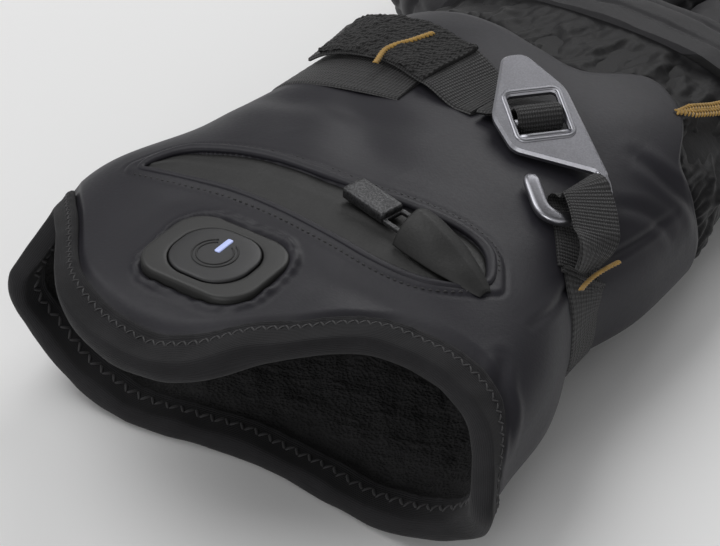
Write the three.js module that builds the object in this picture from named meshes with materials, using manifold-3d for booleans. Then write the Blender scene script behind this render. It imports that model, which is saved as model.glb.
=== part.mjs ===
// A heated gauntlet glove for the right hand, lying on its palm.
// Millimetres. +Y runs from the cuff's mouth to the finger tips, +X to the little finger's side, +Z up.
// The origin is the centre of the glove's box, on the surface that it lies on.
import * as THREE from 'three';
import { mergeVertices } from 'three/addons/utils/BufferGeometryUtils.js';
import Module from 'manifold-3d';

const wasm = await Module();
wasm.setup();

// Main sizes
const CUFF_LENGTH = 145;
const CUFF_WIDTH = 160;
const CUFF_HEIGHT = 63;
const HAND_LENGTH = 80;
const HAND_WIDTH = 118;
const HAND_HEIGHT = 48;

// Walls, from the outside in
const SHELL_WALL = 1.3;
const LINING_WALL = 1.8;
const HAND_WALL = 3.6;
const GATHER_WALL = 1.8;
const LAYER_GAP = 0.35;

// Knitted binding round the mouth
const BINDING_WIDTH = 11;
const BINDING_THICKNESS = 0.9;

// Battery pocket's zip
const ZIP_LENGTH = 111;
const ZIP_WIDTH = 15;
const TAPE_THICKNESS = 0.8;
const TAPE_RECESS = 0.5;
const PULL_WIDTH = 8;
const PULL_GRIP_LENGTH = 16.5;
const PULL_GRIP_THICKNESS = 3.4;
const PULL_EYE_LENGTH = 10.3;
const PULL_EYE_THICKNESS = 1.4;
const PULL_BAR = 1.3;
const HINGE_HEIGHT = 2.4;
const SLIDER_LENGTH = 11;
const BRIDGE_LENGTH = 6.4;
const BRIDGE_WIDTH = 1.8;
const BRIDGE_RISE = 2.1;
const BRIDGE_BAR = 0.8;
const GARAGE_LENGTH = 28;
const GARAGE_WIDTH = 15;
const GARAGE_HEIGHT = 7.2;
const GARAGE_WALL = 0.9;

// Key plate
const PLATE_LENGTH = 36.5;
const PLATE_DEPTH = 30;
const PLATE_CORNER = 9.5;
const PLATE_RISE = 3.4;
const PLATE_FOOT = 7;
const KEY_LENGTH = 24;
const KEY_DEPTH = 22;
const KEY_CORNER = 9.5;
const KEY_RISE = 0.5;
const KEY_SINK = 0.7;
const RING_DIAMETER = 13;
const RING_WIDTH = 1.8;
const RING_THICKNESS = 0.4;
const RING_OPENING = 56;
const MARK_LIFT = 0.3;

// Strap, ladder loop and hook buckle
const STRAP_WIDTH = 17;
const STRAP_THICKNESS = 1.3;
const STRAP_GAP = 0.5;
const STRAP_CINCH = 2;
const BUCKLE_LENGTH = 64;
const BUCKLE_WIDTH = 26.7;
const BUCKLE_THICKNESS = 2.6;
const BUCKLE_CORNER = 2.7;
const HOOK_RADIUS = 1.8;
const WINDOW_LENGTH = 17;
const WINDOW_WIDTH = 14.5;
const WINDOW_CORNER = 1.5;
const CROSSBAR_RADIUS = 1.3;

// Fingers and thumb
const FINGER_LENGTH = 86;
const FINGER_WIDTH = 27.6;
const FINGER_HEIGHT = 29;
const THUMB_LENGTH = 66;
const THUMB_WIDTH = 31;

// Mesh density
const AROUND = 36;
const STEP = 360 / AROUND;

// Section tables. at: share of the part's length; shift and half: shares of its width, the middle's
// offset to the little finger's side and the half width; top and mid: shares of its height, the
// crown and the widest level.
const CUFF_SECTIONS = [
  { at: -0.21, shift: 0.017, half: 0.554, top: 0.99, mid: 0.54 },
  { at: 0.0, shift: -0.029, half: 0.502, top: 0.971, mid: 0.548 },
  { at: 0.24, shift: -0.059, half: 0.493, top: 1.008, mid: 0.56 },
  { at: 0.48, shift: -0.06, half: 0.43, top: 1.003, mid: 0.516 },
  { at: 0.72, shift: -0.04, half: 0.428, top: 1.0, mid: 0.475 },
  { at: 0.97, shift: -0.038, half: 0.418, top: 0.989, mid: 0.451 },
];
const HAND_SECTIONS = [
  { at: 0.25, shift: -0.064, half: 0.53, top: 1.2, mid: 0.54 },
  { at: 0.56, shift: -0.068, half: 0.508, top: 1.08, mid: 0.49 },
  { at: 0.87, shift: -0.068, half: 0.487, top: 0.94, mid: 0.43 },
  { at: 1.0, shift: -0.068, half: 0.47, top: 0.8, mid: 0.4 },
];
const ROOF_ROUND = 2.5;
const SOLE_ROUND = 2.6;
const SOLE_SINK = 2.5;

// The mouth's edge and the far edge round the cuff. angle: 0 is the little finger's side, 90 the top;
// out: share of CUFF_LENGTH.
const MOUTH_EDGE = [
  { angle: 0, out: -0.075 },
  { angle: 30, out: 0.026 },
  { angle: 60, out: 0.026 },
  { angle: 80, out: -0.102 },
  { angle: 100, out: -0.213 },
  { angle: 120, out: -0.18 },
  { angle: 140, out: 0.007 },
  { angle: 160, out: 0.099 },
  { angle: 180, out: -0.028 },
  { angle: 210, out: -0.022 },
  { angle: 240, out: -0.034 },
  { angle: 270, out: 0.007 },
  { angle: 300, out: -0.013 },
  { angle: 330, out: -0.03 },
  { angle: 360, out: -0.075 },
];
const FAR_EDGE = [
  { angle: 0, out: 0.885 },
  { angle: 20, out: 0.885 },
  { angle: 36, out: 0.91 },
  { angle: 46, out: 1.03 },
  { angle: 60, out: 1.085 },
  { angle: 74, out: 0.985 },
  { angle: 90, out: 1.015 },
  { angle: 105, out: 1.06 },
  { angle: 121, out: 1.09 },
  { angle: 150, out: 1.075 },
  { angle: 180, out: 1.03 },
  { angle: 225, out: 0.965 },
  { angle: 270, out: 0.95 },
  { angle: 315, out: 0.91 },
  { angle: 360, out: 0.885 },
];

// Soft hollows in the roof. x, reachX: shares of CUFF_WIDTH; y, reachY: shares of CUFF_LENGTH;
// depth: share of CUFF_HEIGHT.
const HOLLOWS = [
  { name: 'mouth sag', x: -0.1, y: -0.197, reachX: 0.23, reachY: 0.097, depth: 0.14 },
  { name: 'plate seat', x: -0.125, y: 0.037, reachX: 0.218, reachY: 0.168, depth: 0.059 },
  { name: 'strap fold', x: -0.22, y: 0.6, reachX: 0.14, reachY: 0.05, depth: 0.03 },
  { name: 'garage pinch', x: 0.17, y: 0.13, reachX: 0.13, reachY: 0.055, depth: 0.035 },
];

// The strap's middle line round the cuff. out: share of CUFF_LENGTH; wide: share of STRAP_WIDTH.
const STRAP_LINE = [
  { angle: 0, out: 0.476, wide: 1 },
  { angle: 18, out: 0.497, wide: 1 },
  { angle: 26, out: 0.524, wide: 1 },
  { angle: 50, out: 0.655, wide: 1 },
  { angle: 70, out: 0.731, wide: 1.05 },
  { angle: 90, out: 0.745, wide: 1.15 },
  { angle: 121, out: 0.738, wide: 1.3 },
  { angle: 150, out: 0.765, wide: 1.35 },
  { angle: 180, out: 0.77, wide: 1.3 },
  { angle: 210, out: 0.72, wide: 1.2 },
  { angle: 270, out: 0.6, wide: 1.1 },
  { angle: 330, out: 0.49, wide: 1 },
  { angle: 360, out: 0.476, wide: 1 },
];
const BAND_LINE = [
  { angle: 81, out: 0.765, wide: 1.0 },
  { angle: 90, out: 0.783, wide: 1.25 },
  { angle: 99, out: 0.808, wide: 1.3 },
  { angle: 117, out: 0.85, wide: 1.3 },
  { angle: 148, out: 0.862, wide: 1.25 },
];
const WRAP_START = 104;
const WRAP_END = 384;
const BAND_START = 84;
const BAND_END = 144;
const CLIMB_START = 90;
const BAND_CLIMB = 8;
const LOOP_FOLD = 50;
const LOOP_END = 27;
const LOOP_TAUT = 37;
const LOOP_OPENING = 5.6;
const LOOP_SHIFT = 3.7;

// The zip's mouth. at: share of ZIP_LENGTH from its thumb side tip; near and far: shares of ZIP_WIDTH
// from the line between the tips, towards the mouth and towards the hand.
const ZIP_MOUTH = [
  { at: 0, near: 0, far: 0 },
  { at: 0.06, near: 0.05, far: 0.62 },
  { at: 0.16, near: 0.08, far: 0.88 },
  { at: 0.3, near: 0.08, far: 1.0 },
  { at: 0.45, near: 0.2, far: 0.95 },
  { at: 0.6, near: 0.42, far: 0.9 },
  { at: 0.75, near: 0.64, far: 0.93 },
  { at: 0.87, near: 0.64, far: 0.88 },
  { at: 0.95, near: 0.4, far: 0.62 },
  { at: 1, near: 0, far: 0 },
];
const ZIP_MIDDLE = { x: -0.066 * CUFF_WIDTH, y: 0.259 * CUFF_LENGTH };
const ZIP_TURN = 4.6;
const HINGE_PLACE = { x: 0.133 * CUFF_WIDTH, y: 0.297 * CUFF_LENGTH };
const PULL_TURN = -13;
const PLATE_PLACE = { x: -0.122 * CUFF_WIDTH, y: 0.052 * CUFF_LENGTH };

// The rows that the tape's and the plate's seat follow along the cuff, in shares of CUFF_LENGTH, and how
// far round the cuff they reach
const TAPE_ROWS = [0.12, 0.17, 0.22, 0.27, 0.32, 0.37, 0.43];
const TAPE_FROM = 30;
const TAPE_TO = 168;
const SEAT_ROWS = [-0.24, -0.14, -0.07, 0, 0.05, 0.1, 0.15, 0.22, 0.3];
const SEAT_FROM = 54;
const SEAT_TO = 144;

// The garage's sections from its open end. at: share of GARAGE_LENGTH; half: share of GARAGE_WIDTH;
// high: share of GARAGE_HEIGHT.
const GARAGE_SECTIONS = [
  { at: 0, half: 0.5, high: 1.0 },
  { at: 0.18, half: 0.5, high: 0.97 },
  { at: 0.42, half: 0.46, high: 0.8 },
  { at: 0.7, half: 0.36, high: 0.5 },
  { at: 0.92, half: 0.22, high: 0.25 },
  { at: 1, half: 0.14, high: 0.17 },
];
const GARAGE_PEAK = 0.22;
const GARAGE_OVERHANG = 2;
const GARAGE_FOOT = 0.9;
const GARAGE_LEAST = 0.35;
const GARAGE_ARCH = 8;

// The buckle's outline and its hook's middle line, in its own plane. along: share of BUCKLE_LENGTH, to
// the hook; across: share of BUCKLE_WIDTH; up: share of BUCKLE_THICKNESS, from the upper face.
const BUCKLE_OUTLINE = [
  { along: -0.322, across: -0.292 },
  { along: -0.327, across: -0.037 },
  { along: -0.094, across: 0.27 },
  { along: 0.453, across: 0.371 },
  { along: 0.5, across: 0.28 },
  { along: 0.43, across: 0.262 },
  { along: 0.241, across: -0.539 },
  { along: 0.031, across: -0.629 },
];
const HOOK_LINE = [
  { along: 0.422, across: 0.296, up: -0.5 },
  { along: 0.5, across: 0.307, up: -0.69 },
  { along: 0.578, across: 0.262, up: -0.85 },
  { along: 0.637, across: 0.105, up: -0.8 },
  { along: 0.669, across: -0.097, up: -0.3 },
  { along: 0.675, across: -0.315, up: 0.1 },
  { along: 0.628, across: -0.457, up: 0.35 },
  { along: 0.523, across: -0.479, up: 0.4 },
  { along: 0.412, across: -0.472, up: 0.35 },
];
const WINDOW_MIDDLE = { along: 0.056 * BUCKLE_LENGTH, across: -0.131 * BUCKLE_WIDTH };
const CROSSBAR_PLACE = { along: 0.072 * BUCKLE_LENGTH, up: -0.77 * BUCKLE_THICKNESS };
const ROLL_RADIUS = 3.2;
const BUCKLE_PLACE = { x: 0.1125 * CUFF_WIDTH, y: 0.779 * CUFF_LENGTH };
const BUCKLE_LIFT = 7.1;
const BUCKLE_FACING = { x: 0.2, y: -0.15, z: 1 };
const BUCKLE_RUN = { x: 0.75, y: -0.66, z: 0 };

// The band's ramp up to the crossbar, in the buckle's own plane
const RAMP_FOOT = { along: -0.14 * BUCKLE_LENGTH, up: -1.9 * BUCKLE_THICKNESS };
const ROLL_GRIP = { along: 0.6, up: 0.8 };

// Finger stalls. x: share of HAND_WIDTH; lean: degrees to the little finger's side; long: share of
// FINGER_LENGTH; wide: share of FINGER_WIDTH.
const FINGERS = [
  { name: 'index', x: -0.43, lean: -4, long: 0.884, wide: 1 },
  { name: 'middle', x: -0.19, lean: -1, long: 1, wide: 1 },
  { name: 'ring', x: 0.05, lean: 1.5, long: 0.907, wide: 0.978 },
  { name: 'little', x: 0.28, lean: 5, long: 0.674, wide: 0.906 },
];
const THUMB_PLACE = { x: -0.47 * HAND_WIDTH, y: CUFF_LENGTH + 0.6 * HAND_LENGTH };
const THUMB_TURN = -50;
const FINGER_SINK = 0.58;
const FINGER_LEVEL = 0.42;
const THUMB_LEVEL = 0.44;
const FINGER_ROOT = 12;
const FINGER_TAPER = 0.12;
const FINGER_SIDES = 12;
const TIP_LENGTH = 0.55;
const TIP_ROWS = [0.5, 0.82, 0.98];
const STALL_BACK = 8;
const HOLLOW_BACK = 14;

// The hand's rounding at the knuckles, in shares of KNUCKLE_EASE. back: distance from them; drop: how
// far the form shrinks there.
const KNUCKLE_EASE = 8;
const KNUCKLE_ROUND = [
  { back: 1, drop: 0 },
  { back: 0.375, drop: 0.275 },
  { back: 0, drop: 0.69 },
];
const HAND_START = 0.31;
const HAND_ROWS = [0, 0.36, 0.72];

// The gathered wrist, which starts a little way under the cuff
const GATHER_TUCK = 5;
const GATHER_LIP = 0.6;
const GATHER_ROWS = [0.35, 0.68, 1];
const PLEATS = 9;
const PLEAT_DEPTH = 0.9;
const GATHER_SWELL = 0.6;

const radians = THREE.MathUtils.degToRad;
const clamp = THREE.MathUtils.clamp;

// A smooth curve through a table's rows
function curve(rows, place, value) {
  const xs = rows.map((row) => row[place]);
  const ys = rows.map((row) => row[value]);
  const last = xs.length - 1;
  const slopes = xs.map((x, i) => {
    const a = Math.max(i - 1, 0);
    const b = Math.min(i + 1, last);
    return (ys[b] - ys[a]) / (xs[b] - xs[a]);
  });
  return (at) => {
    const x = clamp(at, xs[0], xs[last]);
    let i = 0;
    while (i < last - 1 && x > xs[i + 1]) {
      i += 1;
    }
    const h = xs[i + 1] - xs[i];
    const t = (x - xs[i]) / h;
    const t2 = t * t;
    const t3 = t2 * t;
    return (2 * t3 - 3 * t2 + 1) * ys[i] + (t3 - 2 * t2 + t) * h * slopes[i]
      + (3 * t2 - 2 * t3) * ys[i + 1] + (t3 - t2) * h * slopes[i + 1];
  };
}

// The same for a table that goes once round the glove
function roundCurve(rows, value) {
  const open = rows.slice(0, -1);
  const before = open.map((row) => ({ ...row, angle: row.angle - 360 }));
  const after = rows.map((row) => ({ ...row, angle: row.angle + 360 }));
  const whole = curve([...before, ...open, ...after], 'angle', value);
  return (angle) => whole(THREE.MathUtils.euclideanModulo(angle, 360));
}

const hullRows = [
  ...CUFF_SECTIONS.map((row) => ({
    y: row.at * CUFF_LENGTH,
    shift: row.shift * CUFF_WIDTH,
    half: row.half * CUFF_WIDTH,
    top: row.top * CUFF_HEIGHT,
    mid: row.mid * CUFF_HEIGHT,
  })),
  ...HAND_SECTIONS.map((row) => ({
    y: CUFF_LENGTH + row.at * HAND_LENGTH,
    shift: row.shift * HAND_WIDTH,
    half: row.half * HAND_WIDTH,
    top: row.top * HAND_HEIGHT,
    mid: row.mid * HAND_HEIGHT,
  })),
];
const shiftAt = curve(hullRows, 'y', 'shift');
const halfAt = curve(hullRows, 'y', 'half');
const topAt = curve(hullRows, 'y', 'top');
const midAt = curve(hullRows, 'y', 'mid');

const mouthShare = roundCurve(MOUTH_EDGE, 'out');
const farShare = roundCurve(FAR_EDGE, 'out');
const strapShare = roundCurve(STRAP_LINE, 'out');
const strapWide = roundCurve(STRAP_LINE, 'wide');
const mouthEdge = (angle) => mouthShare(angle) * CUFF_LENGTH;
const farEdge = (angle) => farShare(angle) * CUFF_LENGTH;
const strapLine = (angle) => strapShare(angle) * CUFF_LENGTH;

// How deep the strap presses into the cuff, and how far it lifts the sole off the surface
function strapPress(angle, y) {
  const away = (y - strapLine(angle)) / STRAP_WIDTH;
  return Math.exp(-away * away);
}

function soleLift(angle, y) {
  const away = (y - strapLine(angle)) / (0.85 * STRAP_WIDTH);
  return (STRAP_THICKNESS + STRAP_GAP + LAYER_GAP) * Math.exp(-(away ** 4));
}

// A point of the glove's outer form: the angle round it, the place along it, and how far outside it
function hull(angle, y, grow = 0) {
  const cos = Math.cos(radians(angle));
  const sin = Math.sin(radians(angle));
  const power = sin >= 0 ? ROOF_ROUND : SOLE_ROUND;
  const reach = (Math.abs(cos) ** power + Math.abs(sin) ** power) ** (-1 / power);
  const out = grow - STRAP_CINCH * strapPress(angle, y);
  const rise = sin >= 0 ? topAt(y) - midAt(y) : midAt(y) + SOLE_SINK;
  const x = shiftAt(y) + (halfAt(y) + out) * cos * reach;
  let z = midAt(y) + (rise + out) * sin * reach;
  for (const hollow of HOLLOWS) {
    const dx = (x - hollow.x * CUFF_WIDTH) / (hollow.reachX * CUFF_WIDTH);
    const dy = (y - hollow.y * CUFF_LENGTH) / (hollow.reachY * CUFF_LENGTH);
    z -= hollow.depth * CUFF_HEIGHT * Math.exp(-dx * dx - dy * dy) * clamp(1.6 * sin, 0, 1);
  }
  return new THREE.Vector3(x, y, Math.max(z, soleLift(angle, y) - grow));
}

// The roof's height at a place seen from above
function roof(x, y, grow = 0) {
  let low = 5;
  let high = 175;
  for (let i = 0; i < 30; i += 1) {
    const middle = (low + high) / 2;
    if (hull(middle, y, grow).x > x) {
      low = middle;
    } else {
      high = middle;
    }
  }
  return hull(low, y, grow).z;
}

// A closed body over loops of points; the loops run in a ring, or end in flat strips or fans
function skin(loops, ends) {
  const size = loops[0].length;
  const points = loops.flat();
  const faces = [];
  const steps = ends === 'ring' ? loops.length : loops.length - 1;
  for (let r = 0; r < steps; r += 1) {
    for (let k = 0; k < size; k += 1) {
      const a = r * size + k;
      const b = r * size + ((k + 1) % size);
      const c = ((r + 1) % loops.length) * size + k;
      const d = ((r + 1) % loops.length) * size + ((k + 1) % size);
      if (k < size / 2) {
        faces.push([a, b, c], [b, d, c]);
      } else {
        faces.push([a, b, d], [a, d, c]);
      }
    }
  }
  if (ends === 'strips') {
    for (const [start, turn] of [[0, false], [(loops.length - 1) * size, true]]) {
      for (let k = 0; k < size / 2 - 1; k += 1) {
        const quad = [k, k + 1, size - 2 - k, size - 1 - k].map((i) => start + i);
        const pair = [[quad[0], quad[3], quad[1]], [quad[1], quad[3], quad[2]]];
        faces.push(...pair.map((face) => (turn ? face.reverse() : face)));
      }
    }
  }
  if (ends === 'fans') {
    for (const [start, turn] of [[0, false], [(loops.length - 1) * size, true]]) {
      const hub = new THREE.Vector3();
      for (let k = 0; k < size; k += 1) {
        hub.addScaledVector(points[start + k], 1 / size);
      }
      points.push(hub);
      for (let k = 0; k < size; k += 1) {
        const face = [points.length - 1, start + ((k + 1) % size), start + k];
        faces.push(turn ? face.reverse() : face);
      }
    }
  }
  const geometry = new THREE.BufferGeometry();
  const places = points.flatMap((point) => point.toArray());
  const turned = volume(points, faces) < 0;
  geometry.setAttribute('position', new THREE.Float32BufferAttribute(places, 3));
  geometry.setIndex(faces.flatMap((face) => (turned ? [...face].reverse() : face)));
  return geometry;
}

function volume(points, faces) {
  const cross = new THREE.Vector3();
  let sum = 0;
  for (const [a, b, c] of faces) {
    sum += points[a].dot(cross.crossVectors(points[b], points[c]));
  }
  return sum / 6;
}

// Between three.js geometry and solids that can be joined and cut
function solid(geometry) {
  const bare = geometry.clone();
  bare.deleteAttribute('normal');
  bare.deleteAttribute('uv');
  const merged = mergeVertices(bare, 1e-4);
  return new wasm.Manifold(new wasm.Mesh({
    numProp: 3,
    vertProperties: new Float32Array(merged.attributes.position.array),
    triVerts: new Uint32Array(merged.index.array),
  }));
}

function shape(body) {
  const mesh = body.getMesh();
  const geometry = new THREE.BufferGeometry();
  geometry.setAttribute('position', new THREE.BufferAttribute(mesh.vertProperties, 3));
  geometry.setIndex(new THREE.BufferAttribute(mesh.triVerts, 1));
  return geometry;
}

function angles(from, to) {
  const inner = [];
  for (let angle = Math.ceil(from / STEP + 0.2) * STEP; angle < to - 0.2 * STEP; angle += STEP) {
    inner.push(angle);
  }
  return [from, ...inner, to];
}

// A tube wall round the glove: rows are functions of the angle, from one rim to the other
function tubeWall(rows, outer, inner) {
  const loops = [];
  for (let i = 0; i < AROUND; i += 1) {
    const angle = i * STEP;
    const places = rows.map((row) => row(angle));
    loops.push([
      ...places.map((y) => hull(angle, y, outer(angle, y))),
      ...[...places].reverse().map((y) => hull(angle, y, inner(angle, y))),
    ]);
  }
  return skin(loops, 'ring');
}

// A flat band laid round the glove between two angles
function roundBand(from, to, line, wide, inner, outer) {
  return angles(from, to).map((angle) => {
    const near = line(angle) - wide(angle) / 2;
    const far = line(angle) + wide(angle) / 2;
    return [
      hull(angle, near, inner(angle)),
      hull(angle, far, inner(angle)),
      hull(angle, far, outer(angle)),
      hull(angle, near, outer(angle)),
    ];
  });
}

function roundedRect(length, width, corner) {
  const outline = new THREE.Shape();
  const x = length / 2;
  const y = width / 2;
  outline.moveTo(-x + corner, -y);
  outline.lineTo(x - corner, -y);
  outline.absarc(x - corner, -y + corner, corner, -Math.PI / 2, 0);
  outline.absarc(x - corner, y - corner, corner, 0, Math.PI / 2);
  outline.absarc(-x + corner, y - corner, corner, Math.PI / 2, Math.PI);
  outline.absarc(-x + corner, -y + corner, corner, Math.PI, 1.5 * Math.PI);
  return outline;
}

function prism(outline, bottom, top, curveSegments = 5, bevel = 0) {
  const geometry = new THREE.ExtrudeGeometry(outline, {
    depth: top - bottom - 2 * bevel,
    steps: 1,
    curveSegments,
    bevelEnabled: bevel > 0,
    bevelSize: bevel,
    bevelOffset: -bevel,
    bevelThickness: bevel,
    bevelSegments: 1,
  });
  return geometry.translate(0, 0, bottom + bevel);
}

function box(x0, x1, y0, y1, z0, z1) {
  const geometry = new THREE.BoxGeometry(x1 - x0, y1 - y0, z1 - z0);
  return geometry.translate((x0 + x1) / 2, (y0 + y1) / 2, (z0 + z1) / 2);
}

const glove = new THREE.Group();

function add(name, geometry, colour, roughness, metalness = 0) {
  const material = new THREE.MeshStandardMaterial({ color: colour, roughness, metalness });
  const mesh = new THREE.Mesh(geometry, material);
  mesh.name = name;
  glove.add(mesh);
  return mesh;
}

// Cuff: the soft shell, its fleece lining and the knitted binding
const bindingDrop = BINDING_THICKNESS + 2.2 * LAYER_GAP;
const slotDepth = BINDING_THICKNESS + LAYER_GAP;
const edgeSetback = slotDepth + 2.5 * LAYER_GAP;
const bindingSlope = 6;
const bindingEnd = BINDING_WIDTH + 3 * LAYER_GAP;

function shellFace(angle, y) {
  const away = y - mouthEdge(angle) - bindingEnd;
  return -bindingDrop * clamp(1 - away / bindingSlope, 0, 1);
}

function rimRows(toFar, count) {
  const fixed = [edgeSetback, BINDING_WIDTH / 2, bindingEnd];
  const start = bindingEnd + bindingSlope;
  const rows = fixed.map((distance) => (angle) => mouthEdge(angle) + distance);
  for (let j = 0; j <= count; j += 1) {
    rows.push((angle) => {
      const from = mouthEdge(angle) + start;
      return from + (j / count) * (toFar(angle) - from);
    });
  }
  return rows;
}

function zipOutline(inset) {
  const near = curve(ZIP_MOUTH, 'at', 'near');
  const far = curve(ZIP_MOUTH, 'at', 'far');
  const count = 14;
  const turn = radians(ZIP_TURN);
  const points = [];
  const place = (at, across) => {
    const along = (at - 0.5) * (ZIP_LENGTH - 2 * inset);
    points.push(new THREE.Vector2(
      ZIP_MIDDLE.x + along * Math.cos(turn) - across * Math.sin(turn),
      ZIP_MIDDLE.y + along * Math.sin(turn) + across * Math.cos(turn),
    ));
  };
  for (let i = 0; i < count; i += 1) {
    const at = i / count;
    place(at, -Math.max(near(at) * ZIP_WIDTH - inset, 0));
  }
  for (let i = count; i > 0; i -= 1) {
    const at = i / count;
    place(at, Math.max(far(at) * ZIP_WIDTH - inset, 0));
  }
  return new THREE.Shape(points);
}

const shellRows = rimRows(farEdge, 9);
const zipCut = solid(prism(zipOutline(0), CUFF_HEIGHT / 2, 2 * CUFF_HEIGHT));
const shellTube = tubeWall(
  shellRows,
  shellFace,
  (angle, y) => shellFace(angle, y) - SHELL_WALL,
);
add('cuff_shell', shape(solid(shellTube).subtract(zipCut)), '#38363c', 0.8);

const liningFace = (angle, y) => shellFace(angle, y) - SHELL_WALL - LAYER_GAP;
add('cuff_lining', tubeWall(
  shellRows.slice(0, -1),
  liningFace,
  (angle, y) => liningFace(angle, y) - LINING_WALL,
), '#2a2a2c', 0.95);

const rimDepth = 2 * bindingDrop + SHELL_WALL + LINING_WALL + LAYER_GAP;
const bindingLoop = [
  { from: BINDING_WIDTH, grow: 0 },
  { from: BINDING_WIDTH / 2, grow: 0 },
  { from: 0.2, grow: -0.2 * rimDepth },
  { from: -0.5, grow: -0.5 * rimDepth },
  { from: 0.2, grow: -0.8 * rimDepth },
  { from: BINDING_WIDTH / 2, grow: -rimDepth },
  { from: BINDING_WIDTH, grow: -rimDepth },
  { from: BINDING_WIDTH, grow: BINDING_THICKNESS - rimDepth },
  { from: BINDING_WIDTH / 2, grow: BINDING_THICKNESS - rimDepth },
  { from: slotDepth, grow: BINDING_THICKNESS - rimDepth },
  { from: slotDepth, grow: -BINDING_THICKNESS },
  { from: BINDING_WIDTH / 2, grow: -BINDING_THICKNESS },
  { from: BINDING_WIDTH, grow: -BINDING_THICKNESS },
];
const bindingLoops = [];
for (let i = 0; i < AROUND; i += 1) {
  const angle = i * STEP;
  bindingLoops.push(bindingLoop.map(({ from, grow }) => hull(angle, mouthEdge(angle) + from, grow)));
}
add('cuff_binding', skin(bindingLoops, 'ring'), '#232324', 0.9);

// Wrist gather: thin cloth pulled in by elastic, tucked under the cuff's far edge
const handStart = CUFF_LENGTH + HAND_START * HAND_LENGTH;
const gatherDrop = SHELL_WALL + 2 * LAYER_GAP;
function gatherFace(angle, y) {
  const away = y - farEdge(angle);
  if (away <= GATHER_LIP) {
    return -gatherDrop;
  }
  const swell = Math.sin(Math.PI * clamp(away / (handStart - farEdge(angle)), 0, 1));
  return -gatherDrop * (1 - GATHER_SWELL * swell) + PLEAT_DEPTH * swell * Math.sin(radians(PLEATS * angle));
}
const gatherRows = [
  (angle) => farEdge(angle) - GATHER_TUCK,
  (angle) => farEdge(angle) + GATHER_LIP,
  ...GATHER_ROWS.map((share) => (angle) => farEdge(angle) + share * (handStart - farEdge(angle))),
];
add('wrist_gather', tubeWall(
  gatherRows,
  gatherFace,
  (angle, y) => Math.min(gatherFace(angle, y), 0) - GATHER_WALL,
), '#26262a', 0.7);

// Hand: one padded body split at the side seams, and a stall for each finger
function handCore(grow, from, to) {
  const rows = [
    ...HAND_ROWS.map((share) => ({ y: from + share * (to - from), drop: 0 })),
    ...KNUCKLE_ROUND.map(({ back, drop }) => ({
      y: to - back * KNUCKLE_EASE,
      drop: drop * KNUCKLE_EASE,
    })),
  ];
  const loops = rows.map(({ y, drop }) => {
    const loop = [];
    for (let i = 0; i < AROUND; i += 1) {
      loop.push(hull(i * STEP, y, grow - drop));
    }
    return loop;
  });
  return solid(skin(loops, 'fans'));
}

// A stall's closed form; from its root along its own line, sinking to the surface at the tip
function stall(finger, grow, back) {
  const length = finger.length + grow;
  const half = finger.width / 2 + grow;
  const tall = FINGER_HEIGHT / 2 + grow;
  const tip = TIP_LENGTH * finger.width;
  const along = [
    -back,
    0.25 * length,
    0.5 * length,
    length - tip,
    ...TIP_ROWS.map((share) => length - tip + share * tip),
  ];
  const turn = radians(finger.turn);
  const loops = along.map((run) => {
    const over = clamp((run - length + tip) / tip, 0, 1);
    const round = Math.sqrt(1 - over * over);
    const share = clamp(run / finger.length, 0, 1);
    const level = finger.level * (1 - FINGER_SINK * share * share);
    const loop = [];
    for (let i = 0; i < FINGER_SIDES; i += 1) {
      const a = (2 * Math.PI * (i + 0.5)) / FINGER_SIDES;
      const across = half * round * Math.cos(a);
      const z = level + tall * round * Math.sin(a) * (1 - FINGER_TAPER * share);
      loop.push(new THREE.Vector3(
        finger.x + run * Math.sin(turn) + across * Math.cos(turn),
        finger.y + run * Math.cos(turn) - across * Math.sin(turn),
        Math.max(z, -grow),
      ));
    }
    return loop;
  });
  return solid(skin(loops, 'fans'));
}

const knuckles = CUFF_LENGTH + HAND_LENGTH;
const stalls = FINGERS.map((finger) => ({
  name: `finger_${finger.name}`,
  x: finger.x * HAND_WIDTH,
  y: knuckles - FINGER_ROOT,
  turn: finger.lean,
  length: finger.long * FINGER_LENGTH + FINGER_ROOT,
  width: finger.wide * FINGER_WIDTH,
  level: FINGER_LEVEL * HAND_HEIGHT,
}));
stalls.push({
  name: 'thumb',
  x: THUMB_PLACE.x,
  y: THUMB_PLACE.y,
  turn: THUMB_TURN,
  length: THUMB_LENGTH,
  width: THUMB_WIDTH,
  level: THUMB_LEVEL * HAND_HEIGHT,
});

const handOuter = handCore(0, handStart + LAYER_GAP, knuckles);
const handClear = handCore(LAYER_GAP, CUFF_LENGTH, knuckles + LAYER_GAP);
let handBody = handOuter.subtract(handCore(-HAND_WALL, CUFF_LENGTH, knuckles - HAND_WALL));
let neighbours = handClear;
for (const finger of stalls) {
  handBody = handBody.subtract(stall(finger, -HAND_WALL, STALL_BACK));
  const hollow = stall(finger, -HAND_WALL, HOLLOW_BACK);
  const tube = stall(finger, 0, STALL_BACK).subtract(hollow).subtract(neighbours);
  const largest = tube.decompose().sort((a, b) => b.volume() - a.volume())[0];
  neighbours = neighbours.add(stall(finger, LAYER_GAP, STALL_BACK));
  add(finger.name, shape(largest), '#2c2c30', 0.75);
}
const seamHeight = FINGER_LEVEL * HAND_HEIGHT;
const wide = 2 * HAND_WIDTH;
const below = solid(box(-wide, wide, 0, 2 * knuckles, -HAND_HEIGHT, seamHeight + LAYER_GAP / 2));
const above = solid(box(-wide, wide, 0, 2 * knuckles, seamHeight - LAYER_GAP / 2, 2 * CUFF_HEIGHT));
add('hand_back', shape(handBody.subtract(below)), '#2b2b2f', 0.75);
add('hand_palm', shape(handBody.subtract(above)), '#202022', 0.6);

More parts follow.
